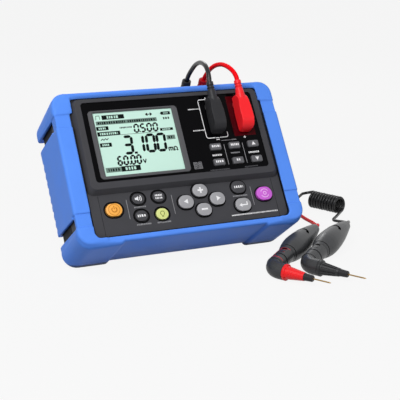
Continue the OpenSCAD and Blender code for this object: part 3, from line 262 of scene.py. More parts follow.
def make_cords():
    """Each cord's object with its line, by a short name."""
    black_short_line = spline_through(BLACK_SHORT_ROUTE)
    black_short = cord("short_cord_black_soft", black_short_line, SHORT_CORD_D, "cable_black")
    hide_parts("short_cord_black")
    red_short_line = spline_through(RED_SHORT_ROUTE)
    red_short = cord("short_cord_red_soft", red_short_line, SHORT_CORD_D, "cable_red")
    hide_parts("short_cord_red")
    main_line = main_cable_line()
    main = cord("main_cable_soft", main_line, CABLE_D, "cable_black")
    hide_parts("main_cable", "cable_coil")
    red_line = spline_through(RED_ROUTE)
    red = cord("cord_red_soft", red_line, RED_CORD_D, "cable_red")
    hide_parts("cord_red")
    black_line = black_cord_line()
    black = cord("cord_black_soft", black_line, BLACK_CORD_D, "cable_black")
    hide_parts("cord_black", "curly_cord", "cord_tail")
    return {
        "black_short": (black_short, black_short_line), "red_short": (red_short, red_short_line),
        "main": (main, main_line), "red": (red, red_line), "black": (black, black_line)}


CORDS = make_cords()


# Finishes

# Painted shade in creases: the share of the colour left in the deepest hollows, and the span of ambient
# occlusion over which it fades in
PAINTED_CREASE_SHADE = 0.12
PAINTED_CREASE_SPAN = (0.4, 0.9)
ROUGH_SWING = 0.05
LINE_SHADE = 0.88
LINE_SWING = 0.1


def add(tree, kind, **values):
    """New node with some of its inputs and settings set."""
    made = tree.nodes.new(kind)
    for name, value in values.items():
        if name in made.inputs:
            made.inputs[name].default_value = value
        else:
            setattr(made, name, value)
    return made


def base_material(name):
    """New material with its node tree, its shader and the object's coordinates."""
    material = bpy.data.materials.new(name)
    material.use_nodes = True
    tree = material.node_tree
    shader = tree.nodes["Principled BSDF"]
    place = add(tree, "ShaderNodeTexCoord").outputs["Object"]
    return material, tree, shader, place


def noise(tree, place, size, detail):
    """Cloudy or grainy pattern with features of about a given size in metres."""
    made = add(tree, "ShaderNodeTexNoise", Scale=1 / size, Detail=detail)
    tree.links.new(place, made.inputs["Vector"])
    return made.outputs["Fac"]


def spread(tree, value, low, high, start=0.3, end=0.7):
    """Stretches a value that runs from start to end to the range from low to high."""
    made = tree.nodes.new("ShaderNodeMapRange")
    for socket, number in zip(made.inputs[1:5], (start, end, low, high)):
        socket.default_value = number
    tree.links.new(value, made.inputs[0])
    return made.outputs[0]


def mixed(tree, share, first, second):
    """Blend of two colours by a share from nought to one. A colour may come from another node."""
    made = add(tree, "ShaderNodeMix", data_type="RGBA")
    for socket, colour in ((made.inputs[6], first), (made.inputs[7], second)):
        if isinstance(colour, bpy.types.NodeSocket):
            tree.links.new(colour, socket)
        else:
            socket.default_value = colour
    tree.links.new(share, made.inputs[0])
    return made.outputs[2]


def finish(name, colour, rough=0.5, vary=0.08, grain=0.0005, depth=0.00001, edge=0.0, metal=0.0, gloss=0.5,
           patch=0.02, painted_shade_reach=0.0):
    """Moulded or plated surface: slow change of shade, fine grain, uneven gloss, rounded edges, and shade
    painted into creases. Grain, depth, edge, patch and painted_shade_reach are lengths in metres."""
    material, tree, shader, place = base_material(name)
    colour = linear(colour)
    dark = [c * (1 - vary) for c in colour[:3]] + [1]
    light = [min(1, c * (1 + vary)) for c in colour[:3]] + [1]
    cloud = noise(tree, place, patch, 4.0)
    shade = mixed(tree, spread(tree, cloud, 0, 1), dark, light)
    # Painted shade: the colour darkens where ambient occlusion finds nearby surfaces, in creases and gaps
    if painted_shade_reach:
        open_sky = add(tree, "ShaderNodeAmbientOcclusion", Distance=painted_shade_reach, samples=6).outputs["AO"]
        painted_crease_colour = [c * PAINTED_CREASE_SHADE for c in colour[:3]] + [1]
        shade = mixed(tree, spread(tree, open_sky, 0, 1, *PAINTED_CREASE_SPAN), painted_crease_colour, shade)
    tree.links.new(shade, shader.inputs["Base Color"])
    tree.links.new(spread(tree, cloud, rough - ROUGH_SWING, rough + ROUGH_SWING), shader.inputs["Roughness"])
    shader.inputs["Metallic"].default_value = metal
    shader.inputs["Specular IOR Level"].default_value = gloss
    bump = add(tree, "ShaderNodeBump", Distance=depth, Strength=1.0)
    tree.links.new(noise(tree, place, grain, 3.0), bump.inputs["Height"])
    if edge:
        rounded = add(tree, "ShaderNodeBevel", Radius=edge, samples=6)
        tree.links.new(rounded.outputs[0], bump.inputs["Normal"])
    tree.links.new(bump.outputs[0], shader.inputs["Normal"])
    return material


def brushed(name, colour, rough):
    """Drawn or plated metal with fine lines along one direction."""
    material, tree, shader, place = base_material(name)
    mapping = add(tree, "ShaderNodeMapping")
    mapping.inputs["Scale"].default_value = (1, 40, 40)
    tree.links.new(place, mapping.inputs["Vector"])
    lines = noise(tree, mapping.outputs[0], 0.02, 4.0)
    tree.links.new(spread(tree, lines, rough - LINE_SWING, rough + LINE_SWING), shader.inputs["Roughness"])
    colour = linear(colour)
    dark = [c * LINE_SHADE for c in colour[:3]] + [1]
    tree.links.new(mixed(tree, spread(tree, lines, 0, 1), dark, colour), shader.inputs["Base Color"])
    shader.inputs["Metallic"].default_value = 1
    return material


def near(tree, value, middle, reach):
    """One where a value is close to a middle, and nought elsewhere."""
    made = add(tree, "ShaderNodeMath", operation="COMPARE")
    tree.links.new(value, made.inputs[0])
    made.inputs[1].default_value = middle
    made.inputs[2].default_value = reach
    return made.outputs[0]


def combined(tree, operation, first, *others):
    """Values joined by one operation, two at a time."""
    for other in others:
        made = add(tree, "ShaderNodeMath", operation=operation)
        tree.links.new(first, made.inputs[0])
        tree.links.new(other, made.inputs[1])
        first = made.outputs[0]
    return first


# Probes: where each one bends, in metres, and how both are turned
RED_PROBE_AT = (0.0454, -0.1009, 0.0071)
BLACK_PROBE_AT = (0.0756, -0.103, 0.0071)
PROBE_TURN = (0, math.radians(-4.2), math.radians(39.5))

# Latch: its window and slot, painted near black as shade in their recesses, then the coloured edges round
# them. Each is a middle and reach along the probe, then to its side, in millimetres from the bend
LATCH_PAINTED_SHADE = [(28.3, 1.5, 0, 2.2), (22, 0.4, 0, 2.2)]
LATCH_EDGES = [
    (29.9, 0.4, 0.4, 4.8), (26.7, 0.35, 0, 2.6), (28.3, 1.8, 2.6, 0.35), (22, 0.5, 0, 2.6),
    (18.6, 8.4, 3.8, 0.4), (10.4, 0.45, -0.8, 5)]

# Heights of a probe's upper side: middle and reach in metres
UPPER_SIDE = (0.006, 0.0055)

# The joint's sleeve for the red cord: middle and reach in metres, sideways and upwards
SLEEVE_SIDEWAYS = (0.0566, 0.0046)
SLEEVE_UPWARDS = (0.141, 0.0125)


def probe_place(tree, at):
    """A probe's own coordinates in metres: along it, to its side and upwards."""
    place = add(tree, "ShaderNodeMapping", vector_type="TEXTURE", Location=at, Rotation=PROBE_TURN)
    tree.links.new(add(tree, "ShaderNodeTexCoord").outputs["Object"], place.inputs["Vector"])
    split = add(tree, "ShaderNodeSeparateXYZ")
    tree.links.new(place.outputs[0], split.inputs[0])
    return split.outputs


def on_upper_side(tree, place, boxes):
    """One inside any of the boxes on a probe's upper side, and nought elsewhere."""
    along, aside, above = place
    shapes = []
    for x, long, y, wide in boxes:
        inside = (near(tree, along, x * MM, long * MM), near(tree, aside, y * MM, wide * MM))
        shapes.append(combined(tree, "MULTIPLY", *inside))
    return combined(tree, "MULTIPLY", combined(tree, "MAXIMUM", *shapes), near(tree, above, *UPPER_SIDE))


def painted(tree, share, colour):
    """Lays a colour over the base colour where a share is one."""
    base = tree.nodes["Principled BSDF"].inputs["Base Color"]
    tree.links.new(mixed(tree, share, base.links[0].from_socket, linear(colour)), base)


def neck(name, at, edge_colour=None):
    """Dark moulding with a latch on its upper side, which may have coloured edges. The latch's window and
    slot are painted near black as shade in their recesses.
    """
    material = finish(name, (54, 55, 57), 0.36, vary=0.08, edge=0.0003, gloss=0.28, painted_shade_reach=0.003, **MOULDED)
    tree = material.node_tree
    place = probe_place(tree, at)
    if edge_colour:
        painted(tree, on_upper_side(tree, place, LATCH_EDGES), edge_colour)
    # Painted shade: the window and slot near black, as if deep and unlit
    painted(tree, on_upper_side(tree, place, LATCH_PAINTED_SHADE), (10, 10, 11))
    return material


def joint_material():
    """Dark moulding of the joint behind the tester, whose sleeve for the red cord is red."""
    material = finish("joint_dark_red_sleeve", (34, 34, 36), 0.4, vary=0.08, gloss=0.2, painted_shade_reach=0.003,
                      **MOULDED)
    tree = material.node_tree
    split = add(tree, "ShaderNodeSeparateXYZ")
    tree.links.new(add(tree, "ShaderNodeTexCoord").outputs["Object"], split.inputs[0])
    sideways, _, upwards = split.outputs
    inside = (near(tree, sideways, *SLEEVE_SIDEWAYS), near(tree, upwards, *SLEEVE_UPWARDS))
    painted(tree, combined(tree, "MULTIPLY", *inside), (168, 14, 26))
    return material


# Size of the grain and depth of its relief, in metres
MOULDED = {"grain": 0.0004, "depth": 0.00001}
KEY_GRAIN = {"grain": 0.0004, "depth": 0.000006}
FINE_GRAIN = {"grain": 0.0003, "depth": 0.000005}
JACKET_GRAIN = {"grain": 0.0006, "depth": 0.000008}

FINISHES = {
    "boot": finish("boot_rubber", (92, 148, 250), 0.45, vary=0.04, grain=0.0006, depth=0.000012,
                   gloss=0.05, patch=0.03, painted_shade_reach=0.005),
    "case_front": finish("case_grey", (62, 62, 66), 0.5, vary=0.05, edge=0.0004, gloss=0.16,
                         painted_shade_reach=0.006, **MOULDED),
    "case_rear": finish("case_dark", (24, 24, 26), 0.58, vary=0.05, edge=0.0004, gloss=0.06, **MOULDED),
    "panel": finish("panel_black", (4, 4, 6), 0.14, vary=0.1, grain=0.004, depth=0.000002, gloss=0.05),
    "bezel": finish("bezel_grey", (84, 84, 87), 0.5, vary=0.03, grain=0.0003, depth=0.000006,
                    edge=0.0002, gloss=0.2),
    "display": finish("display_mint", (203, 238, 224), 0.3, vary=0.015, grain=0.003, depth=0.000001,
                      gloss=0.1, patch=0.05),
    "light": finish("guide_white", (235, 238, 235), 0.3, vary=0.03),
    "board": finish("board_green", (24, 92, 48), 0.4, vary=0.15, grain=0.0012, depth=0.00002, patch=0.004),
    "mat": finish("mat_silicone", (58, 58, 62), 0.5, vary=0.05),
    "insulator": finish("insulator_black", (30, 30, 32), 0.5, vary=0.06, gloss=0.25),
    "black_jack": finish("jack_black", (20, 20, 22), 0.35, vary=0.06, edge=0.0002, gloss=0.3),
    "red_jack": finish("jack_red", (150, 18, 22), 0.35, vary=0.06, edge=0.0002, gloss=0.3),
    "contact": brushed("contact_gold", (214, 176, 96), 0.28),
    "steel": brushed("steel_zinc", (200, 202, 204), 0.35),
    "cells": finish("cell_wrap", (196, 162, 82), 0.3, vary=0.08, metal=0.6),
    "spring_steel": brushed("spring_nickel", (206, 204, 198), 0.3),
    "stand": finish("stand_grey", (40, 40, 43), 0.55, vary=0.05, edge=0.0004, gloss=0.2, **MOULDED),
    "orange_key": finish("key_orange", (248, 176, 74), 0.4, vary=0.04, gloss=0.35, **KEY_GRAIN),
    "dark_key": finish("key_dark", (62, 62, 66), 0.45, vary=0.05, gloss=0.25, **KEY_GRAIN),
    "lime_key": finish("key_lime", (216, 224, 140), 0.42, vary=0.04, gloss=0.35, **KEY_GRAIN),
    "silver_key": finish("key_silver", (158, 158, 162), 0.3, vary=0.04, gloss=0.4, painted_shade_reach=0.003,
                         **FINE_GRAIN),
    "pink_key": finish("key_pink", (204, 98, 214), 0.42, vary=0.04, gloss=0.35, **KEY_GRAIN),
    "grey_key": finish("key_grey", (92, 92, 96), 0.36, vary=0.05, edge=0.0003, gloss=0.35, **FINE_GRAIN),
    "plug_dark": finish("plug_black_soft", (40, 40, 43), 0.36, vary=0.06, gloss=0.2, painted_shade_reach=0.002, **MOULDED),
    "plug_bright": finish("plug_red_soft", (255, 36, 44), 0.32, vary=0.04, grain=0.0004, depth=0.000008,
                          gloss=0.24, painted_shade_reach=0.002),
    "cable_black": finish("jacket_black", (20, 20, 22), 0.26, vary=0.06, gloss=0.3, painted_shade_reach=0.0015,
                          **JACKET_GRAIN),
    "cable_red": finish("jacket_red", (255, 12, 24), 0.4, vary=0.05, gloss=0.04, **JACKET_GRAIN),
    "nose_dark": finish("nose_dark", (44, 45, 47), 0.36, vary=0.1, edge=0.0003, gloss=0.28,
                        painted_shade_reach=0.002, **MOULDED),
    "grip": finish("grip_dark", (60, 61, 63), 0.36, vary=0.1, edge=0.0003, gloss=0.3, painted_shade_reach=0.003,
                   **MOULDED),
    "joint": joint_material(),
    "red_neck": neck("neck_dark_red_edges", RED_PROBE_AT, (212, 24, 38)),
    "black_neck": neck("neck_dark", BLACK_PROBE_AT),
    "nose_bright": finish("nose_red_gloss", (240, 24, 30), 0.25, vary=0.03, grain=0.0008,
                          depth=0.000004, edge=0.0003, gloss=0.35),
    "tip": brushed("tip_brass", (150, 122, 76), 0.3),
}


def print_material(name, colour, rough=0.45, gloss=0.1):
    """Ink, a segment of the display, or painted shade."""
    return finish(name, colour, rough, vary=0.03, grain=0.0004, depth=0.000002, gloss=gloss, patch=0.004)


WHITE_PRINT = print_material("print_white", (240, 240, 242))
GREY_PRINT = print_material("print_grey", (150, 150, 154))
FAINT_PRINT = print_material("print_faint", (84, 84, 88))
# Painted shade: near black for the gaps round the keys and along the boot's opening
GAP_SHADE_PAINT = print_material("painted_gap_shade", (12, 12, 13), 0.6, 0.0)
RED_PRINT = print_material("print_red", (70, 4, 12), 0.2, 0.05)
SEGMENT = print_material("display_segment", (12, 20, 18), 0.4, 0.05)
FAINT_SEGMENT = print_material("display_faint", (112, 136, 126), 0.4, 0.05)
CLEAR_SEGMENT = print_material("display_clear", (190, 226, 212), 0.4, 0.05)


# Nodes of the frame: the finish of their slot, and smooth shading up to an angle in degrees

WELD_DISTANCE = 0.000002


def smooth_group(limit):
    """Shades smoothly across edges flatter than a limit in degrees."""
    group = bpy.data.node_groups.new(f"smooth_below_{limit}", "GeometryNodeTree")
    group.interface.new_socket("Geometry", in_out="INPUT", socket_type="NodeSocketGeometry")
    group.interface.new_socket("Geometry", in_out="OUTPUT", socket_type="NodeSocketGeometry")
    came = add(group, "NodeGroupInput")
    leave = add(group, "NodeGroupOutput")
    weld = add(group, "GeometryNodeMergeByDistance", Distance=WELD_DISTANCE)
    angle = add(group, "GeometryNodeInputMeshEdgeAngle")
    flat = add(group, "FunctionNodeCompare", data_type="FLOAT", operation="LESS_THAN")
    flat.inputs[1].default_value = math.radians(limit)
    faces = add(group, "GeometryNodeSetShadeSmooth", domain="FACE")
    edges = add(group, "GeometryNodeSetShadeSmooth", domain="EDGE")
    link = group.links.new
    link(came.outputs[0], weld.inputs["Geometry"])
    link(weld.outputs[0], faces.inputs["Geometry"])
    link(faces.outputs[0], edges.inputs["Geometry"])
    link(angle.outputs["Unsigned Angle"], flat.inputs[0])
    link(flat.outputs[0], edges.inputs["Shade Smooth"])
    link(edges.outputs[0], leave.inputs[0])
    return group


SMOOTH = smooth_group(32)
BARELY_SMOOTH = smooth_group(12)
SLOT_NODES = {
    "boot": "protector_boot", "case_front": "front_case", "case_rear": "rear_case battery_cover",
    "panel": "window_panel", "bezel": "display_bezel", "display": "display_glass", "light": "backlight",
    "board": "main_board", "mat": "key_mat", "insulator": "terminal_block buzzer",
    "black_jack": "jacks_black", "red_jack": "jacks_red", "contact": "jack_contacts plug_pins",
    "steel": "case_screws stand_pin", "cells": "battery_cells", "spring_steel": "battery_contacts",
    "stand": "tilt_stand", "plug_dark": "plug_black cable_joint cable_split nose_caps",
    "plug_bright": "plug_red", "grip": "grip_red grip_black", "red_neck": "neck_red",
    "black_neck": "neck_black", "nose_bright": "nose_red", "nose_dark": "nose_black",
    "tip": "tip_red tip_black", "orange_key": "key_power",
    "dark_key": "key_speaker key_setup key_compare key_memory", "lime_key": "key_lamp",
    "silver_key": "key_up key_left key_right key_down key_enter", "pink_key": "key_view",
    "grey_key": "key_store key_table key_range_up key_recall key_auto key_range_down"}
NODE_SLOTS = {node: slot for slot, nodes in SLOT_NODES.items() for node in nodes.split()}
SOFT_FINISH = {"cable_joint": "joint"}


def dress(obj, material):
    """Gives an object one material."""
    obj.data.materials.clear()
    obj.data.materials.append(material)


def make_piece(name, mesh, body, material):
    """Makes a mesh of closed shapes one piece that rides on a body."""
    bmesh.ops.recalc_face_normals(mesh, faces=mesh.faces)
    data = bpy.data.meshes.new(name)
    mesh.to_mesh(data)
    mesh.free()
    obj = new_object(name, data)
    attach(obj, body)
    dress(obj, material)


def body_of_node(node):
    """Body that carries a node."""
    return NODES[node]["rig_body"]


def soften(node, voxel, passes, keep):
    """Piece that replaces a node, with its edges rounded as moulded rubber has them. It is remade from voxels
    of a size in metres, smoothed by a number of passes and thinned to the share of its faces to keep."""
    source = new_object(node + "_rough", NODES[node].data.copy())
    remesh = source.modifiers.new("voxels", "REMESH")
    remesh.mode = "VOXEL"
    remesh.voxel_size = voxel
    rounding = source.modifiers.new("rounding", "SMOOTH")
    rounding.iterations = passes
    rounding.factor = 0.5
    thin = source.modifiers.new("thin", "DECIMATE")
    thin.ratio = keep
    evaluated = source.evaluated_get(bpy.context.evaluated_depsgraph_get())
    mesh = bpy.data.meshes.new_from_object(evaluated)
    bpy.data.objects.remove(source)
    mesh.name = node + "_soft"
    mesh.polygons.foreach_set("use_smooth", [True] * len(mesh.polygons))
    obj = new_object(node + "_soft", mesh)
    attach(obj, body_of_node(node))
    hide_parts(node)
    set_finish(obj, NODE_SLOTS[node])
    dress(obj, FINISHES[SOFT_FINISH.get(node, NODE_SLOTS[node])])


for node, slot in NODE_SLOTS.items():
    dress(NODES[node], FINISHES[slot])
    shading = NODES[node].modifiers.new("smooth", "NODES")
    shading.node_group = BARELY_SMOOTH if node == "tilt_stand" else SMOOTH

SOFT_SIZES = {
    "protector_boot": (0.0006, 3, 0.5), "plug_black": (0.00025, 3, 0.4), "plug_red": (0.00025, 3, 0.4),
    "cable_joint": (0.0004, 4, 0.5), "cable_split": (0.0005, 5, 0.5)}
for node, sizes in SOFT_SIZES.items():
    soften(node, *sizes)

for cord_object, _ in CORDS.values():
    cord_object.data.materials.append(FINISHES[cord_object["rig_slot"]])


# Marks: thin closed shapes on the face, on the display and on the keys. Lengths are in millimetres.

CHANCE = random.Random(5)
EDGE_STEP = 1.4
STROKE_STEP = 1.5
STROKE_OVERLAP = 0.2
DASH_SHARE = (0.4, 0.8)
GAP_SHARE = (0.25, 0.45)
SMALLEST_DASH = 0.3


def flat_height(height):
    """Height of a flat surface, as a function of the place on the face."""
    return lambda x, y: height


class Marks:
    """Thin raised shapes on a surface of the face, gathered in one mesh."""

    def __init__(self, height, thick=0.05, sink=0.04):
        self.height = height
        self.thick = thick
        self.sink = sink
        self.mesh = bmesh.new()

    def polygon(self, points):
        """Closed prism over a convex outline on the face. Long edges get points between."""
        outline = []
        for (ax, ay), (bx, by) in zip(points, [*points[1:], points[0]]):
            pieces = max(1, round(math.hypot(bx - ax, by - ay) / EDGE_STEP))
            outline += [(ax + (bx - ax) * i / pieces, ay + (by - ay) * i / pieces) for i in range(pieces)]
        count = len(outline)
        middle = (sum(x for x, y in outline) / count, sum(y for x, y in outline) / count)
        rings = []
        for rise in (-self.sink, self.thick):
            ring = [FACE @ Vector((x, y, self.height(x, y) + rise)) for x, y in [*outline, middle]]
            rings.append([self.mesh.verts.new(place) for place in ring])
        low, high = rings
        for i in range(count):
            j = (i + 1) % count
            self.mesh.faces.new((low[i], low[j], high[j], high[i]))
            self.mesh.faces.new((low[j], low[i], low[count]))
            self.mesh.faces.new((high[i], high[j], high[count]))

    def stroke(self, points, width):
        """Line of a given width through points, one block for each short step."""
        for (ax, ay), (bx, by) in zip(points, points[1:]):
            long = math.hypot(bx - ax, by - ay)
            steps = max(1, round(long / STROKE_STEP))
            nx, ny = -(by - ay) / long * width / 2, (bx - ax) / long * width / 2
            ex, ey = (bx - ax) / long * width * STROKE_OVERLAP, (by - ay) / long * width * STROKE_OVERLAP
            for i in range(steps):
                s, e = i / steps, (i + 1) / steps
                cx, cy = ax + (bx - ax) * s, ay + (by - ay) * s
                dx, dy = ax + (bx - ax) * e, ay + (by - ay) * e
                if i == 0:
                    cx, cy = cx - ex, cy - ey
                if i == steps - 1:
                    dx, dy = dx + ex, dy + ey
                self.polygon([(cx - nx, cy - ny), (dx - nx, dy - ny), (dx + nx, dy + ny), (cx + nx, cy + ny)])

    def bar(self, x, y, width, height):
        """Rectangle centred on a point."""
        self.stroke([(x - width / 2, y), (x + width / 2, y)], height)

    def dashes(self, x, y, width, height):
        """Row of short blocks, where the print is too small to be told apart."""
        left = x - width / 2
        while left < x + width / 2 - SMALLEST_DASH:
            right = min(left + height * CHANCE.uniform(*DASH_SHARE), x + width / 2)
            low, high = y - height / 2, y + height / 2
            self.polygon([(left, low), (right, low), (right, high), (left, high)])
            left = right + height * CHANCE.uniform(*GAP_SHARE)

    def arc(self, x, y, radius, start, end, width, steps=14):
        """Line along a circle between two angles in degrees."""
        angles = [math.radians(start + (end - start) * i / steps) for i in range(steps + 1)]
        self.stroke([(x + radius * math.cos(a), y + radius * math.sin(a)) for a in angles], width)

    def finish(self, name, body, material):
        """Makes the gathered shapes one piece."""
        make_piece(name, self.mesh, body, material)


# The display: places count right and down from the upper left corner of its opening, in millimetres

VIEW_LEFT = -67.35
VIEW_TOP = 45.45
DIGIT_SEGMENTS = {"0": "abcdef", "1": "bc", "3": "abgcd", "5": "afgcd", "6": "afgedc"}
DIGIT_SLANT = 0.07
UNIT_WIDTH = 0.95
FINE_WIDTH = 0.6
FAINT_RISE = 0.04
BLOCK_RISE = 0.03
ON_FAINT_Z = DISPLAY_Z + 0.05
ON_DARK_Z = DISPLAY_Z + 0.06


def view_point(u, v):
    """Place on the face of a point of the display."""
    return VIEW_LEFT + u, VIEW_TOP - v


def digit(marks, symbol, u, v, wide, high, weight):
    """Seven-part digit with its upper left corner at u, v. It leans to the right at the top."""
    half = high / 2
    cut = weight * 0.5
    gap = weight * 0.06

    def place(x, y):
        return view_point(u + x + DIGIT_SLANT * (high - y), v + y)

    def level(y):
        ends = [
            (gap + cut, y - cut), (wide - gap - cut, y - cut), (wide - gap, y), (wide - gap - cut, y + cut),
            (gap + cut, y + cut), (gap, y)]
        return [place(x, y) for x, y in reversed(ends)]

    def upright(x, top, low):
        ends = [
            (x - cut, top + gap + cut), (x, top + gap), (x + cut, top + gap + cut),
            (x + cut, low - gap - cut), (x, low - gap), (x - cut, low - gap - cut)]
        return [place(x, y) for x, y in reversed(ends)]

    shapes = {
        "a": level(0), "g": level(half), "d": level(high), "b": upright(wide, 0, half),
        "c": upright(wide, half, high), "f": upright(0, 0, half), "e": upright(0, half, high)}
    for part in DIGIT_SEGMENTS[symbol]:
        marks.polygon(shapes[part])


def block(left, top, right, low):
    """Middle, width and height on the face of a block between four sides on the display."""
    return *view_point((left + right) / 2, (top + low) / 2), right - left, low - top


def view_stroke(marks, points, width):
    """Line through points of the display."""
    marks.stroke([view_point(u, v) for u, v in points], width)


def make_display():
    """Readings, units and plain blocks on the display."""
    dark = Marks(flat_height(DISPLAY_Z))
    # Main reading with its unit
    for symbol, u in (("3", 20.8), ("1", 30.6), ("0", 40.4), ("0", 49.6)):
        digit(dark, symbol, u, 22.4, 6.6, 14.4, 2.4)
    dark.bar(*block(29.1, 36, 30.9, 37.8))
    view_stroke(dark, [(58.8, 37.6), (58.8, 35.1), (60.4, 34.9), (60.4, 37.6)], UNIT_WIDTH)
    view_stroke(dark, [(60.4, 35.1), (62, 34.9), (62, 37.6)], UNIT_WIDTH)
    horseshoe = [
        (62.9, 37.5), (64, 37.5), (63.2, 36.1), (63.6, 34.9), (64.7, 34.4), (65.8, 34.9), (66.2, 36.1),
        (65.4, 37.5), (66.6, 37.5)]
    view_stroke(dark, horseshoe, UNIT_WIDTH)
    # Upper and lower readings
    for symbol, u in (("0", 32.8), ("5", 38.4), ("0", 44), ("0", 49.4)):
        digit(dark, symbol, u, 12.4, 3.4, 6.6, 1.5)
    dark.bar(*block(36.9, 18.3, 37.8, 19.2))
    for symbol, u in (("6", 13), ("0", 18.1), ("0", 24.2), ("0", 29.3)):
        digit(dark, symbol, u, 39.2, 3.1, 7.2, 1.65)
    dark.bar(*block(22.5, 45.6, 23.6, 46.7))
    view_stroke(dark, [(34.5, 43.2), (35.7, 46.3), (36.9, 43.2)], UNIT_WIDTH)
    # Plain blocks, the divider and small signs
    for sides in (
            (8.1, 2.2, 25.6, 6.1), (1.5, 11.9, 10.4, 15.3), (1.6, 16.6, 19.4, 20.3), (1.8, 26.4, 10.2, 29.9),
            (15.6, 47.6, 30, 52.1), (20.5, 20.1, 53, 20.4), (59.4, 2.6, 66.4, 5.4), (58.5, 3.4, 59.4, 4.6),
            (47.2, 3.7, 48.8, 4.3), (55.4, 17.3, 65.9, 19.6)):
        dark.bar(*block(*sides))
    wave = [(2.8, 23.9), (4.2, 22.7), (5.2, 23.9), (6.8, 22.6), (7.8, 23.8), (9.2, 22.4)]
    view_stroke(dark, wave, FINE_WIDTH)
    for point, foot in ((45.4, 46.6), (50.6, 49.4)):
        view_stroke(dark, [(point, 4), (foot, 3), (foot, 5), (point, 4)], 0.8)
    dark.dashes(*block(59.8, 7.6, 65.2, 9.5))
    dark.dashes(*block(20.6, 13.5, 31, 14.8))
    dark.finish("display_digits", "tester", SEGMENT)
    faint = Marks(flat_height(DISPLAY_Z), FAINT_RISE)
    faint.bar(*block(2.2, 7.2, 53.4, 10.6))
    faint.bar(*block(59.8, 24, 65.8, 27.8))
    faint.bar(*block(2.4, 47.8, 14.2, 52))
    view_stroke(faint, [(2, 5.8), (2.6, 2.4), (5.4, 2.4), (5.4, 5.6)], FINE_WIDTH)
    faint.finish("display_faint_marks", "tester", FAINT_SEGMENT)
    # Rows of short blocks on the faint blocks and on the dark ones
    over = Marks(flat_height(ON_FAINT_Z), BLOCK_RISE)
    for sides in ((3, 7.9, 26.5, 9.9), (28.6, 7.9, 52.6, 9.9), (60.6, 24.8, 65, 27), (3.6, 48.8, 13, 51)):
        over.dashes(*block(*sides))
    over.finish("display_block_marks", "tester", SEGMENT)
    clear = Marks(flat_height(ON_DARK_Z), BLOCK_RISE)
    for sides in (
            (11.6, 3, 22.2, 5.3), (2.8, 12.7, 9.2, 14.5), (3, 17.5, 18, 19.4), (3, 27.3, 9, 29),
            (57, 17.9, 64.4, 19.1), (18, 48.6, 28, 51.1), (61, 3.4, 65, 4.6)):
        clear.dashes(*block(*sides))
    clear.finish("display_clear_marks", "tester", CLEAR_SEGMENT)


make_display()


# Printed marks on the panel and on the key deck

INK_RISE = 0.03
FIELD_RISE = 0.02


def make_prints():
    """Lines, boxes and rows of short blocks on the panel and on the deck."""
    white = Marks(flat_height(PANEL_Z), INK_RISE)
    around = [(33.7, 52.2), (33.6, 50.4), (27.6, 50.4), (26.4, 49.2), (26.4, 16.4), (27.6, 15), (34, 15)]
    white.stroke(around, 0.6)
    white.stroke([(38.6, 15), (45, 15), (46.2, 16.4), (46.2, 19.6)], 0.6)
    white.bar(36.2, 14.8, 2.8, 0.6)
    white.bar(36.2, 13.2, 2.8, 0.6)
    white.bar(61.2, 13.5, 2, 0.5)
    white.stroke([(61.2, 12.5), (61.2, 14.5)], 0.5)
    for y in (42.2, 22.7):
        white.dashes(19, y, 6.4, 1)
        white.stroke([(22.4, y), (26.6, y)], 0.5)
    white.arc(24.9, 22.7, 0.5, 0, 360, 0.6, 8)
    white.dashes(31.7, -0.7, 8.2, 1.5)
    white.dashes(66, -0.8, 9.8, 1.5)
    white.finish("panel_marks", "tester", WHITE_PRINT)
    grey = Marks(flat_height(PANEL_Z), INK_RISE)
    for x in (40.2, 57.3):
        grey.stroke([(x, 8.4), (x, -10)], 0.4)
    grey.stroke([(39, 12), (44, 12)], 0.35)
    grey.stroke([(44, 12), (48.6, 11.9)], 0.35)
    grey.dashes(50.8, 12.1, 4, 1)
    grey.dashes(48.8, 0.1, 8.2, 1.1)
    for x in (10.6, 14.6):
        for y in (-6.6, -9.8):
            corners = [(x - 1.5, y - 1.2), (x + 1.5, y - 1.2), (x + 1.5, y + 1.2), (x - 1.5, y + 1.2)]
            grey.stroke(corners + corners[:1], 0.35)
            grey.dashes(x, y, 1.8, 1)
    grey.finish("panel_grey_marks", "tester", GREY_PRINT)
    faint = Marks(flat_height(PANEL_Z), INK_RISE)
    faint.dashes(31.4, -13.7, 17.6, 1.1)
    faint.dashes(60.4, -13.3, 12, 0.9)
    faint.dashes(55.6, -14.6, 3.6, 0.7)
    faint.finish("panel_faint_marks", "tester", FAINT_PRINT)
    red = Marks(flat_height(PANEL_Z), FIELD_RISE)
    red.polygon([(52.2, 14.8), (72.2, 14.8), (72.2, 51.7), (52.2, 51.7)])
    red.finish("panel_red_field", "tester", RED_PRINT)
    deck = Marks(flat_height(DECK_Z), INK_RISE)
    for x in (-54, -15.3, 55.8):
        deck.stroke([(x, -30), (x, -46.1)], 0.4)
    deck.dashes(-43.4, -51.6, 12, 1.2)
    deck.dashes(-26, -51.8, 12, 1.2)
    deck.dashes(-43.4, -37, 10.4, 1.1)
    deck.dashes(44.9, -36.9, 13, 1.1)
    deck.finish("deck_marks", "tester", GREY_PRINT)


make_prints()


# Painted shade on the deck: dark lines where the surfaces drop away into gaps. Then the deck's printed row of
# blocks

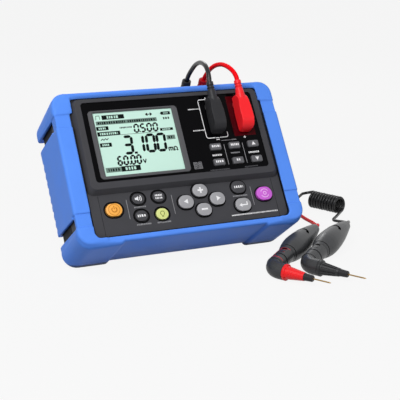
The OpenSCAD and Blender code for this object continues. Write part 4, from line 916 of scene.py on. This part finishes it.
# Middle, width, height and rise over the deck of each oval key, in millimetres
OVAL_KEYS = {
    "key_power": (-65.7, -37.3, 13.3, 10.4, 1.6), "key_speaker": (-43.9, -30.1, 10.2, 8.5, 0.7),
    "key_setup": (-26.4, -30.2, 10.1, 8.5, 0.7), "key_compare": (-44.1, -44.6, 10.2, 8.5, 0.7),
    "key_lamp": (-26.5, -44.9, 10.3, 9.1, 1.0), "key_up": (9.7, -29.2, 13, 10.7, 2.8),
    "key_left": (-4.5, -37.6, 13, 11, 2.8), "key_right": (23.5, -37.7, 13.1, 10.7, 2.8),
    "key_down": (9.7, -45.7, 12.7, 10.5, 2.8), "key_memory": (44.8, -29.6, 12.6, 10.6, 2.0),
    "key_enter": (45, -45.4, 14, 11, 2.8), "key_view": (66.5, -37.8, 14.2, 11.4, 2.8)}
LOW_KEY_RISE = 1.7
LOW_KEY_GROW = 1.5
HIGH_KEY_GROW = 0.9

# The boot's opening over the deck: the middle and radius of its right lower corner, and where the line of
# painted shade begins
CORNER_X = 80.4
CORNER_Y = -54.3
CORNER_RADIUS = 4.5
CORNER_ANGLES = (0, 0.39, 0.79, 1.18, 1.57)
LINE_TOP = -18


def oval(cx, cy, wide, high):
    """Closed line round an oval with two round ends."""
    radius = high / 2
    reach = (wide - high) / 2
    line = []
    for i in range(-6, 19):
        turn = math.radians(15 * i)
        middle = cx + (reach if i <= 6 else -reach)
        line.append((middle + radius * math.cos(turn), cy + radius * math.sin(turn)))
    return line + line[:1]


def make_painted_gap_shade():
    """Painted shade: a dark line round each oval key and along the boot's opening, where the gaps fall into
    shadow. Then the printed row of blocks.
    """
    edges = Marks(flat_height(DECK_Z), INK_RISE)
    # Painted shade: a dark ring round each oval key, where its gap falls into shadow
    for cx, cy, wide, high, rise in OVAL_KEYS.values():
        grow = LOW_KEY_GROW if rise < LOW_KEY_RISE else HIGH_KEY_GROW
        edges.stroke(oval(cx, cy, wide + 2 * grow, high + 2 * grow), 0.8)
    line = [(CORNER_X + CORNER_RADIUS, LINE_TOP)]
    for angle in CORNER_ANGLES:
        line.append((CORNER_X + CORNER_RADIUS * math.cos(angle), CORNER_Y - CORNER_RADIUS * math.sin(angle)))
    edges.stroke(line + [(-x, y) for x, y in reversed(line)], 0.9)
    edges.finish("deck_painted_gap_shade", "tester", GAP_SHADE_PAINT)
    line_mark = Marks(flat_height(DECK_Z), INK_RISE)
    line_mark.dashes(54.4, -53.3, 42.4, 1.1)
    line_mark.finish("deck_line_marks", "tester", WHITE_PRINT)


make_painted_gap_shade()


# Signs on the keys, laid on their crowns

CROWN_DROP = 0.9
SIGN_RISE = 0.08
SIGN_SINK = 0.15


def crown(key):
    """Height of an oval key's crown, a part of a ball, as a function of the place on the face."""
    cx, cy, width, _, rise = OVAL_KEYS[key]
    drop = min(CROWN_DROP, rise / 2)
    ball = ((width / 2) ** 2 + drop ** 2) / (2 * drop)

    def height(x, y):
        return DECK_Z + rise - ball + math.sqrt(ball ** 2 - (x - cx) ** 2 - (y - cy) ** 2)
    return height


def key_sign(key, draw, material):
    """Sign on an oval key, drawn about the key's middle."""
    marks = Marks(crown(key), SIGN_RISE, SIGN_SINK)
    cx, cy = OVAL_KEYS[key][:2]
    draw(marks, cx, cy)
    marks.finish(key + "_sign", key + "_body", material)


def triangle(marks, x, y, size, turn):
    """Triangle with equal sides that points the way of a turn in radians."""
    angles = [corner + turn for corner in (0, 2 * math.pi / 3, 4 * math.pi / 3)]
    marks.polygon([(x + math.cos(angle) * size, y + math.sin(angle) * size) for angle in angles])


def make_signs():
    """Plain signs on all keys."""
    orange_line = print_material("sign_orange", (176, 100, 26))
    olive_line = print_material("sign_olive", (112, 120, 54))
    pink_line = print_material("sign_pink", (240, 196, 244))

    def power(m, x, y):
        m.arc(x, y, 2.1, 130, 410, 0.6)
        m.stroke([(x, y + 0.4), (x, y + 2.9)], 0.6)
        m.arc(x, y, 4.6, 0, 360, 0.3, 28)

    def speaker(m, x, y):
        m.polygon([(x - 2.9, y - 0.9), (x - 1.5, y - 0.9), (x - 1.5, y + 0.9), (x - 2.9, y + 0.9)])
        m.polygon([(x - 1.5, y - 0.9), (x, y - 2.1), (x, y + 2.1), (x - 1.5, y + 0.9)])
        m.arc(x - 0.2, y, 1.5, -50, 50, 0.6)
        m.arc(x - 0.2, y, 2.8, -50, 50, 0.6)

    def two_rows(m, x, y):
        m.dashes(x, y + 1.2, 6, 1.5)
        m.dashes(x, y - 1.2, 6, 1.5)

    def lamp(m, x, y):
        m.arc(x, y + 0.4, 1.7, -50, 230, 0.5)
        m.bar(x, y - 1.6, 1.8, 0.45)
        m.bar(x, y - 2.4, 1.3, 0.45)

    def ring(m, x, y):
        m.arc(x, y, 1.3, 0, 360, 0.6, 18)
        m.arc(x, y, 3.6, 30, 150, 0.6)
        m.arc(x, y, 3.6, 210, 330, 0.6)

    def plus(m, x, y):
        m.bar(x, y, 4.4, 1.5)
        m.stroke([(x, y + 0.77), (x, y + 2.2)], 1.5)
        m.stroke([(x, y - 0.77), (x, y - 2.2)], 1.5)

    def back(m, x, y):
        m.stroke([(x + 3.2, y + 1.9), (x + 3.2, y - 0.6), (x - 1.8, y - 0.6)], 1.1)
        m.polygon([(x - 4.1, y - 0.6), (x - 1.7, y - 2.3), (x - 1.7, y + 1.1)])

    key_sign("key_power", power, orange_line)
    key_sign("key_speaker", speaker, WHITE_PRINT)
    key_sign("key_setup", two_rows, WHITE_PRINT)
    key_sign("key_compare", lambda m, x, y: m.dashes(x, y, 6.6, 2), WHITE_PRINT)
    key_sign("key_lamp", lamp, olive_line)
    key_sign("key_up", plus, WHITE_PRINT)
    key_sign("key_left", lambda m, x, y: triangle(m, x, y, 2.4, math.pi), WHITE_PRINT)
    key_sign("key_right", lambda m, x, y: triangle(m, x, y, 2.4, 0), WHITE_PRINT)
    key_sign("key_down", lambda m, x, y: m.bar(x, y, 5, 1.5), WHITE_PRINT)
    key_sign("key_memory", lambda m, x, y: m.dashes(x, y, 8, 2), WHITE_PRINT)
    key_sign("key_enter", back, WHITE_PRINT)
    key_sign("key_view", ring, pink_line)
    top = flat_height(RECT_KEY_TOP)
    for key, x, y, wide in (
            ("key_store", 31.9, 6.8, 7.4), ("key_table", 49.3, 6.8, 7.4), ("key_recall", 31.9, -7, 6.8),
            ("key_auto", 49.3, -7, 3.4)):
        marks = Marks(top)
        marks.dashes(x, y, wide, 1.9)
        marks.finish(key + "_sign", key + "_body", WHITE_PRINT)
    for key, y, turn in (("key_range_up", 6.2, math.pi / 2), ("key_range_down", -7, -math.pi / 2)):
        marks = Marks(top)
        triangle(marks, 66.7, y, 2.1, turn)
        marks.finish(key + "_sign", key + "_body", WHITE_PRINT)


make_signs()


# Painted shade in the thumb crescents on the grips: near-black sheets laid in their grooves. Lengths are in
# millimetres, from the probe's bend.

BELLY_AT = 51
BELLY_REACH = 49
END_RADIUS = 4.2
BELLY_RISE = 6.2
THUMB_AT = 67
THUMB_REACHES = (4.1, 4.8, 5.5, 6.2)
THUMB_ANGLES = [-90 + 7.5 * i for i in range(25)]
SHADE_SHEET_RISE = 0.12
SHADE_SHEET_THICKNESS = 0.3
# Painted shade: near black with no gloss, standing for the shadow in the thumb grooves
GROOVE_PAINTED_SHADE = finish("groove_painted_shade", (5, 5, 6), 0.8, vary=0.1, gloss=0.0, **MOULDED)


def grip_radius(x):
    """Outside radius of a grip behind its belly, at a distance from the bend."""
    return END_RADIUS + BELLY_RISE * math.cos(math.pi / 2 * (x - BELLY_AT) / BELLY_REACH)


def thumb_crescent_shade(name, at, body):
    """Near-black sheet laid in the half ring pressed into a grip for the thumb, as painted shade in its
    groove.
    """
    place = Matrix.Translation(at) @ Euler(PROBE_TURN).to_matrix().to_4x4()
    mesh = bmesh.new()
    rows = []
    for angle in map(math.radians, THUMB_ANGLES):
        row = []
        for reach in THUMB_REACHES:
            x = THUMB_AT + reach * math.cos(angle)
            y = reach * math.sin(angle)
            z = math.sqrt(grip_radius(x) ** 2 - y ** 2) + SHADE_SHEET_RISE
            row.append(mesh.verts.new(place @ (MM * Vector((x, y, z)))))
        rows.append(row)
    for row, after in zip(rows, rows[1:]):
        for k in range(len(THUMB_REACHES) - 1):
            mesh.faces.new((row[k], row[k + 1], after[k + 1], after[k]))
    bmesh.ops.solidify(mesh, geom=mesh.faces[:], thickness=SHADE_SHEET_THICKNESS * MM)
    make_piece(name, mesh, body, GROOVE_PAINTED_SHADE)


thumb_crescent_shade("crescent_red", RED_PROBE_AT, body_of_node("grip_red"))
thumb_crescent_shade("crescent_black", BLACK_PROBE_AT, body_of_node("grip_black"))


# Floor, world and lamps

WHITE = (1, 1, 1, 1)
WORLD_STRENGTH = 0.2
FLOOR_HALF = 6
FLOOR_COLOUR = (0.4, 0.4, 0.4, 1)
FLOOR_WHITE_SHARE = 0.9


def light_mix(tree, lit, kind, share):
    """Shows white, by a share, instead of a lit shader where the camera or a reflection looks."""
    path = add(tree, "ShaderNodeLightPath")
    looks = [path.outputs[f"Is {way} Ray"] for way in ("Camera", "Glossy", "Transmission")]
    scaled = add(tree, "ShaderNodeMath", operation="MULTIPLY")
    scaled.inputs[1].default_value = share
    tree.links.new(combined(tree, "MAXIMUM", *looks), scaled.inputs[0])
    plain = add(tree, kind, Color=WHITE, Strength=1.0)
    mix = add(tree, "ShaderNodeMixShader")
    tree.links.new(scaled.outputs[0], mix.inputs[0])
    tree.links.new(lit, mix.inputs[1])
    tree.links.new(plain.outputs[0], mix.inputs[2])
    return mix.outputs[0]


def make_world():
    """Faint even light from all sides, seen as plain white."""
    world = bpy.data.worlds.new("studio")
    world.use_nodes = True
    tree = world.node_tree
    soft = tree.nodes["Background"]
    soft.inputs["Color"].default_value = WHITE
    soft.inputs["Strength"].default_value = WORLD_STRENGTH
    shown = light_mix(tree, soft.outputs[0], "ShaderNodeBackground", 1)
    tree.links.new(shown, tree.nodes["World Output"].inputs["Surface"])
    bpy.context.scene.world = world


def make_floor():
    """Pale floor that keeps the shadows faint."""
    data = bpy.data.meshes.new("floor")
    corners = [(-1, -1), (1, -1), (1, 1), (-1, 1)]
    data.from_pydata([(x * FLOOR_HALF, y * FLOOR_HALF, 0) for x, y in corners], [], [(0, 1, 2, 3)])
    floor = new_object("floor", data)
    material = bpy.data.materials.new("floor_pale")
    material.use_nodes = True
    tree = material.node_tree
    shader = tree.nodes["Principled BSDF"]
    shader.inputs["Base Color"].default_value = FLOOR_COLOUR
    shader.inputs["Roughness"].default_value = 0.9
    shader.inputs["Specular IOR Level"].default_value = 0
    shown = light_mix(tree, shader.outputs[0], "ShaderNodeEmission", FLOOR_WHITE_SHARE)
    tree.links.new(shown, tree.nodes["Material Output"].inputs["Surface"])
    dress(floor, material)


def area_light(name, place, target, size, power):
    """Square lamp that faces a target. Size is in metres and power in watts."""
    data = bpy.data.lights.new(name, "AREA")
    data.shape = "SQUARE"
    data.size = size
    data.energy = power
    lamp = new_object(name, data)
    lamp.location = place
    lamp.rotation_euler = (Vector(target) - Vector(place)).to_track_quat("-Z", "Y").to_euler()


make_world()
make_floor()
area_light("key_lamp", place=(-0.57, -0.72, 0.97), target=(0.02, -0.02, 0.08), size=0.8, power=14.5)
area_light("edge_lamp", place=(0.45, 1.05, 0.8), target=(0, 0, 0.12), size=0.35, power=2.2)
area_light("fill_lamp", place=(0.9, -0.9, 0.5), target=(0.05, 0, 0.05), size=0.6, power=1.5)

bpy.context.scene.view_settings.view_transform = "Standard"
bpy.context.view_layer.update()
